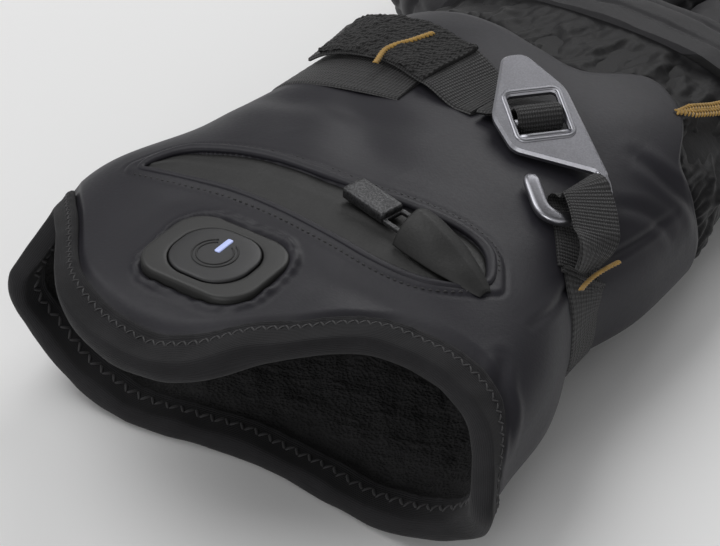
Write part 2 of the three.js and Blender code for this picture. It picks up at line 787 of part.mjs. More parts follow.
// Key plate, its key, and the standby mark's ring and lit bar
const seatDepth = 2 * PLATE_FOOT;
const seatRows = SEAT_ROWS.map((share) => share * CUFF_LENGTH);
const seat = solid(skin(angles(SEAT_FROM, SEAT_TO).map((angle) => [
  ...seatRows.map((y) => hull(angle, y, 2 * LAYER_GAP)),
  ...[...seatRows].reverse().map((y) => hull(angle, y, -seatDepth)),
]), 'strips'));
const plateTop = roof(PLATE_PLACE.x, PLATE_PLACE.y) + PLATE_RISE;
const plateOutline = roundedRect(PLATE_LENGTH, PLATE_DEPTH, PLATE_CORNER);
const plateBlock = solid(prism(plateOutline, -PLATE_FOOT, 0, 4, 0.5)
  .translate(PLATE_PLACE.x, PLATE_PLACE.y, plateTop));
const pocketOutline = roundedRect(
  KEY_LENGTH + 2 * LAYER_GAP,
  KEY_DEPTH + 2 * LAYER_GAP,
  KEY_CORNER + LAYER_GAP,
);
const keyPocket = solid(prism(pocketOutline, -KEY_SINK - LAYER_GAP, PLATE_RISE, 3)
  .translate(PLATE_PLACE.x, PLATE_PLACE.y, plateTop));
add('key_plate', shape(plateBlock.subtract(seat).subtract(keyPocket)), '#3a3a3a', 0.5);
const keyOutline = roundedRect(KEY_LENGTH, KEY_DEPTH, KEY_CORNER);
add('key', prism(keyOutline, -KEY_SINK, KEY_RISE, 3, 0.3), '#38383b', 0.45)
  .position.set(PLATE_PLACE.x, PLATE_PLACE.y, plateTop);

function ringShape() {
  const half = radians(RING_OPENING / 2);
  const start = Math.PI / 2 + half;
  const end = Math.PI / 2 - half + 2 * Math.PI;
  const outline = new THREE.Shape();
  outline.absarc(0, 0, RING_DIAMETER / 2, start, end, false);
  outline.absarc(0, 0, RING_DIAMETER / 2 - RING_WIDTH, end, start, true);
  return outline;
}
const markLevel = plateTop + KEY_RISE + MARK_LIFT;
const lightLength = 0.5 * RING_DIAMETER;
const lightOutline = roundedRect(RING_WIDTH, lightLength, 0.3 * RING_WIDTH);
add('key_ring', prism(ringShape(), 0, RING_THICKNESS, 7), '#2a2a2c', 0.4)
  .position.set(PLATE_PLACE.x, PLATE_PLACE.y, markLevel);
add('key_light', prism(lightOutline, 0, RING_THICKNESS, 2), '#b9c6f2', 0.3)
  .position.set(PLATE_PLACE.x, PLATE_PLACE.y + 0.3 * RING_DIAMETER, markLevel);

// Zip: its laminated tape, slider, pull and garage
const tapeRows = TAPE_ROWS.map((share) => share * CUFF_LENGTH);
const tapeSlab = angles(TAPE_FROM, TAPE_TO).map((angle) => [
  ...tapeRows.map((y) => hull(angle, y, -TAPE_RECESS)),
  ...[...tapeRows].reverse().map((y) => hull(angle, y, -TAPE_RECESS - TAPE_THICKNESS)),
]);
const tapeCut = solid(prism(zipOutline(LAYER_GAP), CUFF_HEIGHT / 2, 2 * CUFF_HEIGHT));
add('zip_tape', shape(solid(skin(tapeSlab, 'strips')).intersect(tapeCut)), '#47474a', 0.6);

const pullTurn = radians(PULL_TURN);
const pullRun = new THREE.Vector2(-Math.cos(pullTurn), -Math.sin(pullTurn));
const pullReach = PULL_EYE_LENGTH + PULL_GRIP_LENGTH;
const hingeFoot = roof(HINGE_PLACE.x, HINGE_PLACE.y, -TAPE_RECESS);
const tipPlace = new THREE.Vector2().copy(HINGE_PLACE).addScaledVector(pullRun, pullReach);
const tipFoot = roof(tipPlace.x, tipPlace.y, -TAPE_RECESS);
const runAxis = new THREE.Vector3(pullRun.x, pullRun.y, (tipFoot - hingeFoot) / pullReach).normalize();
const sideAxis = new THREE.Vector3(0, 0, 1).cross(runAxis).normalize();
const riseAxis = new THREE.Vector3().crossVectors(runAxis, sideAxis);
const pullFrame = new THREE.Group();
pullFrame.quaternion.setFromRotationMatrix(new THREE.Matrix4().makeBasis(runAxis, sideAxis, riseAxis));
pullFrame.position.set(HINGE_PLACE.x, HINGE_PLACE.y, hingeFoot);
glove.add(pullFrame);

const eyeStart = -0.5 * BRIDGE_BAR - LAYER_GAP;
const eyeHalf = PULL_WIDTH / 2;
const eyeLow = HINGE_HEIGHT - PULL_EYE_THICKNESS / 2;
const eyeHigh = HINGE_HEIGHT + PULL_EYE_THICKNESS / 2;
const holeStart = eyeStart + 1.2 * PULL_BAR;
const holeEnd = PULL_EYE_LENGTH - 1.7 * PULL_BAR;
const holeHalf = eyeHalf - PULL_BAR;
const eyeOuter = solid(box(eyeStart, PULL_EYE_LENGTH, -eyeHalf, eyeHalf, eyeLow, eyeHigh));
const eyeHole = solid(box(holeStart, holeEnd, -holeHalf, holeHalf, 0, 2 * HINGE_HEIGHT));
const gripOverlap = 0.4;
const gripLow = HINGE_HEIGHT - 0.5 * PULL_GRIP_THICKNESS + 0.6;
const gripOutline = roundedRect(PULL_GRIP_LENGTH, PULL_WIDTH, 0.8);
const grip = solid(prism(gripOutline, 0, PULL_GRIP_THICKNESS, 2, 0.35)
  .translate(PULL_EYE_LENGTH - gripOverlap + PULL_GRIP_LENGTH / 2, 0, gripLow));
const pull = add('zip_pull', shape(eyeOuter.subtract(eyeHole).add(grip)), '#55565a', 0.45, 0.6);
pullFrame.add(pull);

const bridgeHalf = BRIDGE_LENGTH / 2;
const bridgeInner = bridgeHalf - 1.55 * BRIDGE_BAR;
const bridgeTop = HINGE_HEIGHT + BRIDGE_RISE;
const sliderTop = HINGE_HEIGHT - PULL_EYE_THICKNESS / 2 - 1.6 * LAYER_GAP;
const sliderHalf = 0.45 * PULL_WIDTH;
const sliderFront = -0.59 * SLIDER_LENGTH;
const sliderBody = solid(box(
  sliderFront, sliderFront + SLIDER_LENGTH, -sliderHalf, sliderHalf, LAYER_GAP, sliderTop,
));
const bridge = solid(box(
  -bridgeHalf, bridgeHalf, -BRIDGE_WIDTH / 2, BRIDGE_WIDTH / 2, sliderTop - LAYER_GAP, bridgeTop,
));
const bridgeGap = solid(box(
  -bridgeInner, bridgeInner, -BRIDGE_WIDTH, BRIDGE_WIDTH, sliderTop, bridgeTop - BRIDGE_BAR,
));
const sliderShape = shape(sliderBody.add(bridge).subtract(bridgeGap));
const slider = add('zip_slider', sliderShape, '#3c3d40', 0.5, 0.6);
pullFrame.add(slider);

// The garage: a hood of laminated cloth over the slider, open towards the pull
function garagePoint(section, share, inset) {
  const run = GARAGE_OVERHANG - section.at * GARAGE_LENGTH;
  const half = section.half * GARAGE_WIDTH - inset;
  const high = section.high * GARAGE_HEIGHT - inset;
  const angle = Math.PI * share;
  const across = half * Math.cos(angle) - GARAGE_PEAK * high * Math.sin(angle);
  const x = HINGE_PLACE.x + run * runAxis.x + across * sideAxis.x;
  const y = HINGE_PLACE.y + run * runAxis.y + across * sideAxis.y;
  const foot = roof(x, y, -TAPE_RECESS) + GARAGE_FOOT;
  return new THREE.Vector3(x, y, foot + Math.max(high, GARAGE_LEAST) * Math.sin(angle));
}
const garageLoops = GARAGE_SECTIONS.map((section) => {
  const shares = Array.from({ length: GARAGE_ARCH + 1 }, (_, i) => i / GARAGE_ARCH);
  return [
    ...shares.map((share) => garagePoint(section, share, 0)),
    ...[...shares].reverse().map((share) => garagePoint(section, share, GARAGE_WALL)),
  ];
});
add('zip_garage', skin(garageLoops, 'strips'), '#3f4042', 0.6);

// Strap: the long wrap under the wrist, the upper band with its roll, and the ladder loop
const wideAt = (angle) => strapWide(angle) * STRAP_WIDTH;
const low = () => STRAP_GAP;
const lowTop = () => STRAP_GAP + STRAP_THICKNESS;
const wrapLoops = roundBand(WRAP_START, WRAP_END, strapLine, wideAt, low, lowTop);
add('strap_wrap', skin(wrapLoops, 'strips'), '#1e1f20', 0.8);

const buckleNormal = new THREE.Vector3().copy(BUCKLE_FACING).normalize();
const buckleAlong = new THREE.Vector3().copy(BUCKLE_RUN);
buckleAlong.addScaledVector(buckleNormal, -buckleAlong.dot(buckleNormal)).normalize();
const buckleAcross = new THREE.Vector3().crossVectors(buckleNormal, buckleAlong);
const buckleFrame = new THREE.Group();
buckleFrame.quaternion.setFromRotationMatrix(
  new THREE.Matrix4().makeBasis(buckleAlong, buckleAcross, buckleNormal),
);
buckleFrame.position.set(BUCKLE_PLACE.x, BUCKLE_PLACE.y, roof(BUCKLE_PLACE.x, BUCKLE_PLACE.y) + BUCKLE_LIFT);
glove.add(buckleFrame);
buckleFrame.updateMatrix();
const onBuckle = (along, across, up) => new THREE.Vector3(along, across, up).applyMatrix4(buckleFrame.matrix);

const bandCentre = curve(BAND_LINE, 'angle', 'out');
const bandWide = curve(BAND_LINE, 'angle', 'wide');
const overWrap = STRAP_THICKNESS + 1.6 * STRAP_GAP;
const bandRise = (angle) => STRAP_GAP + overWrap * clamp((angle - CLIMB_START) / BAND_CLIMB, 0, 1);
const bandLoops = roundBand(
  BAND_START,
  BAND_END,
  (angle) => bandCentre(angle) * CUFF_LENGTH,
  (angle) => bandWide(angle) * STRAP_WIDTH,
  bandRise,
  (angle) => bandRise(angle) + STRAP_THICKNESS,
);
const rollHalf = (WINDOW_WIDTH - 1.7 * (2 * LAYER_GAP)) / 2;
const rollAt = CROSSBAR_PLACE.along;
const rollUp = CROSSBAR_PLACE.up;
const rampEnd = { along: rollAt - ROLL_RADIUS + ROLL_GRIP.along, up: rollUp - ROLL_GRIP.up };
for (const { along, up } of [RAMP_FOOT, rampEnd]) {
  bandLoops.unshift([
    onBuckle(along, WINDOW_MIDDLE.across - rollHalf, up - STRAP_THICKNESS),
    onBuckle(along, WINDOW_MIDDLE.across + rollHalf, up - STRAP_THICKNESS),
    onBuckle(along, WINDOW_MIDDLE.across + rollHalf, up),
    onBuckle(along, WINDOW_MIDDLE.across - rollHalf, up),
  ]);
}
const rollRing = new THREE.Shape().absarc(0, 0, ROLL_RADIUS, 0, 2 * Math.PI);
rollRing.holes.push(new THREE.Path().absarc(0, 0, ROLL_RADIUS - STRAP_THICKNESS, 0, 2 * Math.PI));
const roll = prism(rollRing, -rollHalf, rollHalf, 7)
  .rotateX(Math.PI / 2)
  .translate(rollAt, WINDOW_MIDDLE.across, rollUp)
  .applyMatrix4(buckleFrame.matrix);
add('strap_band', shape(solid(skin(bandLoops, 'strips')).add(solid(roll))), '#1e1f20', 0.8);

const loopRise = (angle) => {
  const share = clamp((angle - LOOP_END) / (LOOP_TAUT - LOOP_END), 0, 1);
  return STRAP_GAP + 0.8 * STRAP_THICKNESS + LOOP_OPENING * Math.sin(0.5 * Math.PI * share);
};
const loopLine = (angle) => strapLine(angle) - LOOP_SHIFT;
const loopWide = () => STRAP_WIDTH - 2;
const loopUnder = skin(roundBand(LOOP_END, LOOP_FOLD, loopLine, loopWide, low, lowTop), 'strips');
const loopOver = skin(roundBand(
  LOOP_END, LOOP_FOLD, loopLine, loopWide, loopRise, (angle) => loopRise(angle) + STRAP_THICKNESS,
), 'strips');
const loopFold = skin(roundBand(
  LOOP_FOLD - 1, LOOP_FOLD + 1.5, loopLine, loopWide, low, () => loopRise(LOOP_FOLD) + STRAP_THICKNESS,
), 'strips');
add('strap_loop', shape(solid(loopUnder).add(solid(loopOver)).add(solid(loopFold))), '#1e1f20', 0.8);

// Buckle: a rounded plate with a window and crossbar, and a hook that passes through the loop
function roundedOutline(points, corner) {
  const outline = new THREE.Shape();
  const count = points.length;
  points.forEach((point, i) => {
    const before = points[(i + count - 1) % count];
    const after = points[(i + 1) % count];
    const cut = Math.min(corner, 0.4 * point.distanceTo(before), 0.4 * point.distanceTo(after));
    const start = point.clone().add(before.clone().sub(point).setLength(cut));
    const end = point.clone().add(after.clone().sub(point).setLength(cut));
    if (i === 0) {
      outline.moveTo(start.x, start.y);
    } else {
      outline.lineTo(start.x, start.y);
    }
    outline.quadraticCurveTo(point.x, point.y, end.x, end.y);
  });
  return outline;
}
const buckleOutline = roundedOutline(BUCKLE_OUTLINE.map(({ along, across }) => (
  new THREE.Vector2(along * BUCKLE_LENGTH, across * BUCKLE_WIDTH)
)), BUCKLE_CORNER);
const bucklePlate = solid(prism(buckleOutline, -BUCKLE_THICKNESS, 0, 2, 0.5));
const windowOutline = roundedRect(WINDOW_LENGTH, WINDOW_WIDTH, WINDOW_CORNER);
const windowCut = solid(prism(windowOutline, -2 * BUCKLE_THICKNESS, BUCKLE_THICKNESS, 2)
  .translate(WINDOW_MIDDLE.along, WINDOW_MIDDLE.across, 0));
const crossbarLength = WINDOW_WIDTH + 2 * WINDOW_CORNER;
const crossbar = solid(new THREE.CylinderGeometry(CROSSBAR_RADIUS, CROSSBAR_RADIUS, crossbarLength, 8)
  .translate(CROSSBAR_PLACE.along, WINDOW_MIDDLE.across, CROSSBAR_PLACE.up));
const hookPoints = HOOK_LINE.map(({ along, across, up }) => (
  new THREE.Vector3(along * BUCKLE_LENGTH, across * BUCKLE_WIDTH, up * BUCKLE_THICKNESS)
));
const hookLine = new THREE.CatmullRomCurve3(hookPoints, false, 'centripetal');
const hookSection = new THREE.Shape().absarc(0, 0, HOOK_RADIUS, 0, 2 * Math.PI);
const hook = solid(new THREE.ExtrudeGeometry(hookSection, {
  steps: 14,
  curveSegments: 4,
  bevelEnabled: false,
  extrudePath: hookLine,
}));
const buckleShape = shape(bucklePlate.subtract(windowCut).add(crossbar).add(hook));
const buckle = add('buckle_hook', buckleShape, '#a9abb0', 0.3, 1);
buckleFrame.add(buckle);

// The glove's box stands on the surface with its middle over the origin
glove.updateMatrixWorld(true);
const bounds = new THREE.Box3().setFromObject(glove, true);
const middle = bounds.getCenter(new THREE.Vector3());
glove.position.set(-middle.x, -middle.y, -bounds.min.z);

export default glove;
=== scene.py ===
"""A heated gauntlet glove for the right hand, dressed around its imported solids.

Lengths in the tables and fields are millimetres in the glove's own frame, where the mouth's bottom centre
is the origin: +Y runs to the finger tips, +X to the little finger's side and +Z up. Form.to_frame turns them
into the frame's metres.
"""

import logging
import math
from dataclasses import dataclass
from enum import Enum
from typing import Callable, Iterable, Optional, Sequence, Union

import bmesh
import bpy
import numpy as np
from mathutils import Matrix, Vector


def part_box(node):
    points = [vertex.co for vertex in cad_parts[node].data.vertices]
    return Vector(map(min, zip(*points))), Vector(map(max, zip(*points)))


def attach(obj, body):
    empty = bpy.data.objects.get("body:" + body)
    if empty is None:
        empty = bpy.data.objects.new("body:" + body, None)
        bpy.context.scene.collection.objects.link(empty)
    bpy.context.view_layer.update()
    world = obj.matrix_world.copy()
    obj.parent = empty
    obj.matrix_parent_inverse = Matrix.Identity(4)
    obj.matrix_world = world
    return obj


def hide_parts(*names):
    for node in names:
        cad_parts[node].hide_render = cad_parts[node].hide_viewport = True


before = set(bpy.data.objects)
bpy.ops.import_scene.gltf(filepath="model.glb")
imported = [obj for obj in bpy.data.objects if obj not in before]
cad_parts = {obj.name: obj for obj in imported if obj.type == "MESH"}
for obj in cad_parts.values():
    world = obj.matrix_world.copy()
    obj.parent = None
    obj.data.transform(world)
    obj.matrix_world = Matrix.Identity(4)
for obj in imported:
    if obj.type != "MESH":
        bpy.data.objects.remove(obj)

LOG = logging.getLogger("glove")
MM = 0.001
SEED = 7
FLOOR_GAP = 0.05
SEAM_LEVEL = 0.42
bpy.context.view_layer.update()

Array = np.ndarray
Colour = tuple[float, float, float]
Number = Union[float, Array]
Triple = tuple[float, float, float]
Pair = tuple[float, float]
Pairs = tuple[Pair, ...]
Triples = tuple[Triple, ...]
Rim = tuple[float, float, float, float]
Piece = bpy.types.Object


class Body(Enum):
    """The bodies that pieces ride on."""

    GLOVE = "glove"
    PULL = "pull"


class Ends(Enum):
    """How a loft is closed at its two ends."""

    RING = "ring"
    FANS = "fans"
    STRIPS = "strips"


# Numbers and curves


class Smooth:
    """A smooth curve through a table's rows."""

    def __init__(self, places: Sequence[float], values: Sequence[float]) -> None:
        """Stores the rows and works out the slope at each.

        Args:
            places: where the rows lie, in rising order.
            values: the value of each row.
        """
        self.places = np.array(places, float)
        self.values = np.array(values, float)
        index = np.arange(len(places))
        before = np.maximum(index - 1, 0)
        after = np.minimum(index + 1, len(places) - 1)
        self.slopes = (self.values[after] - self.values[before]) / (self.places[after] - self.places[before])

    def __call__(self, at: Number) -> Array:
        """Returns the curve's value at each place in at."""
        x = np.clip(np.asarray(at, float), self.places[0], self.places[-1])
        i = np.clip(np.searchsorted(self.places, x, side="right") - 1, 0, len(self.places) - 2)
        h = self.places[i + 1] - self.places[i]
        t = (x - self.places[i]) / h
        t2, t3 = t * t, t * t * t
        return (
            (2 * t3 - 3 * t2 + 1) * self.values[i]
            + (t3 - 2 * t2 + t) * h * self.slopes[i]
            + (3 * t2 - 2 * t3) * self.values[i + 1]
            + (t3 - t2) * h * self.slopes[i + 1]
        )


class Round(Smooth):
    """The same for a table that goes once round the glove, in degrees."""

    def __init__(self, places: Sequence[float], values: Sequence[float]) -> None:
        """Repeats the rows a turn before and a turn after.

        Args:
            places: the rows' angles from 0 to 360.
            values: the value of each row; the last repeats the first.
        """
        angles, numbers = list(places[:-1]), list(values[:-1])
        super().__init__(
            [a - 360 for a in angles] + angles + [a + 360 for a in places],
            numbers * 2 + list(values),
        )

    def __call__(self, at: Number) -> Array:
        """Returns the curve's value at each angle in at."""
        return super().__call__(np.mod(np.asarray(at, float), 360.0))


def ease(value: Array, low: float, high: float) -> Array:
    """Returns a smooth step from 0 at low to 1 at high."""
    t = np.clip((value - low) / (high - low), 0, 1)
    return t * t * (3 - 2 * t)


def hump(value: Array, shape: Triple) -> Array:
    """Returns a soft hump; its shape is its height, middle and reach."""
    return shape[0] * bump_at(value, shape[1], shape[2])


def bump_at(value: Array, middle: float, reach: float) -> Array:
    """Returns a soft hump of height 1 at middle that dies out over reach."""
    return np.exp(-(((value - middle) / reach) ** 2))


@dataclass(frozen=True)
class Ripple:
    """Smooth seeded unevenness made of plane waves.

    Attributes:
        length: the usual wave length in millimetres.
        waves: how many waves are summed.
        seed: the seed of their directions and phases.
        sharp: whether the waves have creased crests, as crumpled cloth has.
    """

    length: float
    waves: int = 12
    seed: int = SEED
    sharp: bool = False

    def __call__(self, points: Array) -> Array:
        """Returns a value of about -1 to 1 at each point.

        Args:
            points: an array whose last axis holds x, y and z.

        Returns:
            The summed waves, without the last axis.
        """
        rng = np.random.default_rng(self.seed)
        total = np.zeros(points.shape[:-1])
        for _ in range(self.waves):
            direction = rng.normal(size=3)
            direction /= np.linalg.norm(direction)
            scale = 2 * math.pi / (self.length * rng.uniform(0.6, 1.7))
            phase = points @ direction * scale + rng.uniform(0, 2 * math.pi)
            total += (1 - 2 * np.abs(np.sin(phase / 2))) if self.sharp else np.sin(phase)
        return total / math.sqrt(self.waves)


def polyline_distance(points: Array, line: Array) -> tuple[Array, Array]:
    """Measures how far points are from a line of straight stretches.

    Args:
        points: an array whose last axis holds the coordinates.
        line: the line's points in order.

    Returns:
        The distance of each point, and its share of the way along the line.
    """
    best = np.full(points.shape[:-1], np.inf)
    share = np.zeros(points.shape[:-1])
    lengths = np.linalg.norm(np.diff(line, axis=0), axis=1)
    whole = lengths.sum()
    run = 0.0
    for start, end, length in zip(line[:-1], line[1:], lengths):
        way = end - start
        t = np.clip(((points - start) @ way) / max(length * length, 1e-9), 0, 1)
        distance = np.linalg.norm(points - (start + t[..., None] * way), axis=-1)
        nearer = distance < best
        best = np.where(nearer, distance, best)
        share = np.where(nearer, (run + t * length) / whole, share)
        run += length
    return best, share


def inside_polygon(points: Array, polygon: Array) -> Array:
    """Returns True where a plan point lies inside the closed polygon.

    Args:
        points: an array whose last axis holds x and y.
        polygon: the outline's corners in order.

    Returns:
        An array of booleans.
    """
    inside = np.zeros(points.shape[:-1], bool)
    x, y = points[..., 0], points[..., 1]
    for (x0, y0), (x1, y1) in zip(polygon, np.roll(polygon, -1, axis=0)):
        crosses = (y0 > y) != (y1 > y)
        at = x0 + (y - y0) * (x1 - x0) / (y1 - y0 if abs(y1 - y0) > 1e-9 else 1e-9)
        inside ^= crosses & (x < at)
    return inside


# The glove's form, as the solids have it


@dataclass(frozen=True)
class Row:
    """A row of the section tables, in shares of the part's own sizes.

    Attributes:
        at: share of the part's length.
        shift: the middle's offset to the little finger's side, a share of the width.
        half: half the width, a share of the width.
        top: the crown's height, a share of the height.
        mid: the widest level, a share of the height.
    """

    at: float
    shift: float
    half: float
    top: float
    mid: float


@dataclass(frozen=True)
class Hollow:
    """A soft hollow in the roof, in shares of the cuff's width, length and height."""

    x: float
    y: float
    reach_x: float
    reach_y: float
    depth: float


@dataclass
class Form:
    """The glove's outer form and the lines that lie on it."""

    cuff_length: float = 145.0
    cuff_width: float = 160.0
    cuff_height: float = 63.0
    hand_length: float = 80.0
    hand_width: float = 118.0
    hand_height: float = 48.0
    strap_width: float = 17.0
    strap_thickness: float = 1.3
    strap_gap: float = 0.5
    strap_cinch: float = 2.0
    roof_round: float = 2.5
    sole_round: float = 2.6
    sole_sink: float = 2.5
    layer_gap: float = 0.35
    cuff_rows: tuple[Row, ...] = (
        Row(-0.21, 0.017, 0.554, 0.99, 0.54),
        Row(0.0, -0.029, 0.502, 0.971, 0.548),
        Row(0.24, -0.059, 0.493, 1.008, 0.56),
        Row(0.48, -0.06, 0.43, 1.003, 0.516),
        Row(0.72, -0.04, 0.428, 1.0, 0.475),
        Row(0.97, -0.038, 0.418, 0.989, 0.451),
    )
    hand_rows: tuple[Row, ...] = (
        Row(0.25, -0.064, 0.53, 1.2, 0.54),
        Row(0.56, -0.068, 0.508, 1.08, 0.49),
        Row(0.87, -0.068, 0.487, 0.94, 0.43),
        Row(1.0, -0.068, 0.47, 0.8, 0.4),
    )
    hollows: tuple[Hollow, ...] = (
        Hollow(-0.1, -0.197, 0.23, 0.097, 0.14),
        Hollow(-0.125, 0.037, 0.218, 0.168, 0.059),
        Hollow(-0.22, 0.6, 0.14, 0.05, 0.03),
        Hollow(0.17, 0.13, 0.13, 0.055, 0.035),
    )
    mouth_edge: Pairs = (
        (0, -0.075), (30, 0.026), (60, 0.026), (80, -0.102), (100, -0.213), (120, -0.18), (140, 0.007),
        (160, 0.099), (180, -0.028), (210, -0.022), (240, -0.034), (270, 0.007), (300, -0.013),
        (330, -0.03), (360, -0.075),
    )
    far_edge: Pairs = (
        (0, 0.885), (20, 0.885), (36, 0.91), (46, 1.03), (60, 1.085), (74, 0.985), (90, 1.015), (105, 1.06),
        (121, 1.09), (150, 1.075), (180, 1.03), (225, 0.965), (270, 0.95), (315, 0.91), (360, 0.885),
    )
    strap_rows: Triples = (
        (0, 0.476, 1.0), (18, 0.497, 1.0), (26, 0.524, 1.0), (50, 0.655, 1.0), (70, 0.731, 1.05),
        (90, 0.745, 1.15), (121, 0.738, 1.3), (150, 0.765, 1.35), (180, 0.77, 1.3), (210, 0.72, 1.2),
        (270, 0.6, 1.1), (330, 0.49, 1.0), (360, 0.476, 1.0),
    )
    plate_x: float = -0.122 * 160.0
    plate_y: float = 0.052 * 145.0

    def __post_init__(self) -> None:
        """Works out the curves from the tables, and where the form stands in the frame."""
        cuff = (self.cuff_length, self.cuff_width, self.cuff_height)
        hand = (self.hand_length, self.hand_width, self.hand_height)
        rows = [
            (begin + r.at * long, r.shift * wide, r.half * wide, r.top * high, r.mid * high)
            for part, begin, (long, wide, high) in (
                (self.cuff_rows, 0.0, cuff), (self.hand_rows, self.cuff_length, hand),
            )
            for r in part
        ]
        places = [r[0] for r in rows]
        self.shift, self.half, self.top, self.mid = (
            Smooth(places, [r[column] for r in rows]) for column in range(1, 5)
        )
        self.mouth_share = Round(*zip(*self.mouth_edge))
        self.far_share = Round(*zip(*self.far_edge))
        self.strap_share = Round([r[0] for r in self.strap_rows], [r[1] for r in self.strap_rows])
        self.strap_wide = Round([r[0] for r in self.strap_rows], [r[2] for r in self.strap_rows])
        plate_low, plate_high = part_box("key_plate")
        sole_low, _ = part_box("hand_palm")
        middle = (plate_low + plate_high) / 2 / MM
        self.offset = np.array([middle.x - self.plate_x, middle.y - self.plate_y, sole_low.z / MM])

    def mouth(self, angle: Array) -> Array:
        """Returns how far along the glove the mouth's edge is at each angle."""
        return self.mouth_share(angle) * self.cuff_length

    def far(self, angle: Array) -> Array:
        """Returns how far along the glove the cuff's far edge is at each angle."""
        return self.far_share(angle) * self.cuff_length

    def strap(self, angle: Array) -> Array:
        """Returns how far along the glove the strap's middle line is at each angle."""
        return self.strap_share(angle) * self.cuff_length

    def point(self, angle: Array, y: Array, grow: Number = 0.0) -> Array:
        """Returns points of the outer form.

        Args:
            angle: the angle round the glove, 0 at the little finger's side and 90 on top.
            y: the place along the glove.
            grow: how far outside the form the point lies.

        Returns:
            An array with x, y and z on its last axis.
        """
        angle, y, grow = np.broadcast_arrays(np.asarray(angle, float), np.asarray(y, float), grow)
        cos, sin = np.cos(np.radians(angle)), np.sin(np.radians(angle))
        power = np.where(sin >= 0, self.roof_round, self.sole_round)
        reach = (np.abs(cos) ** power + np.abs(sin) ** power) ** (-1 / power)
        away = y - self.strap(angle)
        out = grow - self.strap_cinch * np.exp(-((away / self.strap_width) ** 2))
        mid, top = self.mid(y), self.top(y)
        rise = np.where(sin >= 0, top - mid, mid + self.sole_sink)
        x = self.shift(y) + (self.half(y) + out) * cos * reach
        z = mid + (rise + out) * sin * reach
        for hollow in self.hollows:
            dx = (x - hollow.x * self.cuff_width) / (hollow.reach_x * self.cuff_width)
            dy = (y - hollow.y * self.cuff_length) / (hollow.reach_y * self.cuff_length)
            z = z - hollow.depth * self.cuff_height * np.exp(-dx * dx - dy * dy) * np.clip(1.6 * sin, 0, 1)
        lift = self.strap_thickness + self.strap_gap + self.layer_gap
        lift = lift * np.exp(-((away / (0.85 * self.strap_width)) ** 4))
        return np.stack([x, y, np.maximum(z, lift - grow)], axis=-1)

    def angle_at(self, x: Array, y: Array, grow: Number = 0.0) -> Array:
        """Returns the angle of the roof's points that lie at x and y in plan.

        Args:
            x: the places across the glove.
            y: the places along it.
            grow: how far outside the form they lie.

        Returns:
            The angles in degrees.
        """
        x, y, grow = np.broadcast_arrays(np.asarray(x, float), np.asarray(y, float), grow)
        low, high = np.full(x.shape, 3.0), np.full(x.shape, 177.0)
        for _ in range(26):
            middle = (low + high) / 2
            right = self.point(middle, y, grow)[..., 0] > x
            low, high = np.where(right, middle, low), np.where(right, high, middle)
        return low

    def roof(self, x: Array, y: Array, grow: Number = 0.0) -> Array:
        """Returns the roof's height at places seen from above."""
        return self.point(self.angle_at(x, y, grow), y, grow)[..., 2]

    def on_roof(self, plan: Array, grow: Number = 0.0) -> Array:
        """Returns the roof's points over plan points, an array with x and y on its last axis."""
        heights = self.roof(plan[..., 0], plan[..., 1], grow)
        return np.concatenate([plan, heights[..., None]], axis=-1)

    def to_frame(self, points: Array) -> Array:
        """Returns points in the frame, in metres."""
        return (points + self.offset) * MM


FORM = Form()


def around(count: int) -> Array:
    """Returns angles once round the glove, as a column."""
    return np.linspace(0, 360, count, endpoint=False)[:, None]


def crossways(angle: Array, y: Array) -> Array:
    """Returns the form's direction along the glove at each place."""
    return FORM.point(angle, y + 1) - FORM.point(angle, y - 1)


# Shader expressions


def shade(colour: Colour, share: float) -> Colour:
    """Returns a lighter or darker colour."""
    return tuple(channel * share for channel in colour)


Term = Union["Value", float]


class Value:
    """A shader socket that can be used in sums and products."""

    def __init__(self, board: "Board", socket: bpy.types.NodeSocket) -> None:
        """Keeps the socket and the board that it is on."""
        self.board = board
        self.socket = socket

    def _math(self, operation: str, *values: Term) -> "Value":
        """Returns the result of a Math node on these values."""
        settings = {"operation": operation}
        return self.board.node("ShaderNodeMath", settings, dict(enumerate(values)))

    def __add__(self, other: Term) -> "Value":
        """Returns the sum."""
        return self._math("ADD", self, other)

    __radd__ = __add__

    def __sub__(self, other: Term) -> "Value":
        """Returns the difference."""
        return self._math("SUBTRACT", self, other)

    def __rsub__(self, other: float) -> "Value":
        """Returns the difference the other way round."""
        return self._math("SUBTRACT", other, self)

    def __mul__(self, other: Term) -> "Value":
        """Returns the product."""
        return self._math("MULTIPLY", self, other)

    __rmul__ = __mul__

    def sine(self) -> "Value":
        """Returns the sine."""
        return self._math("SINE", self)

    def least(self, other: Term) -> "Value":
        """Returns the smaller of the two."""
        return self._math("MINIMUM", self, other)

    def most(self, other: Term) -> "Value":
        """Returns the larger of the two."""
        return self._math("MAXIMUM", self, other)

    def held(self) -> "Value":
        """Returns the value, held between 0 and 1."""
        return self.least(1.0).most(0.0)


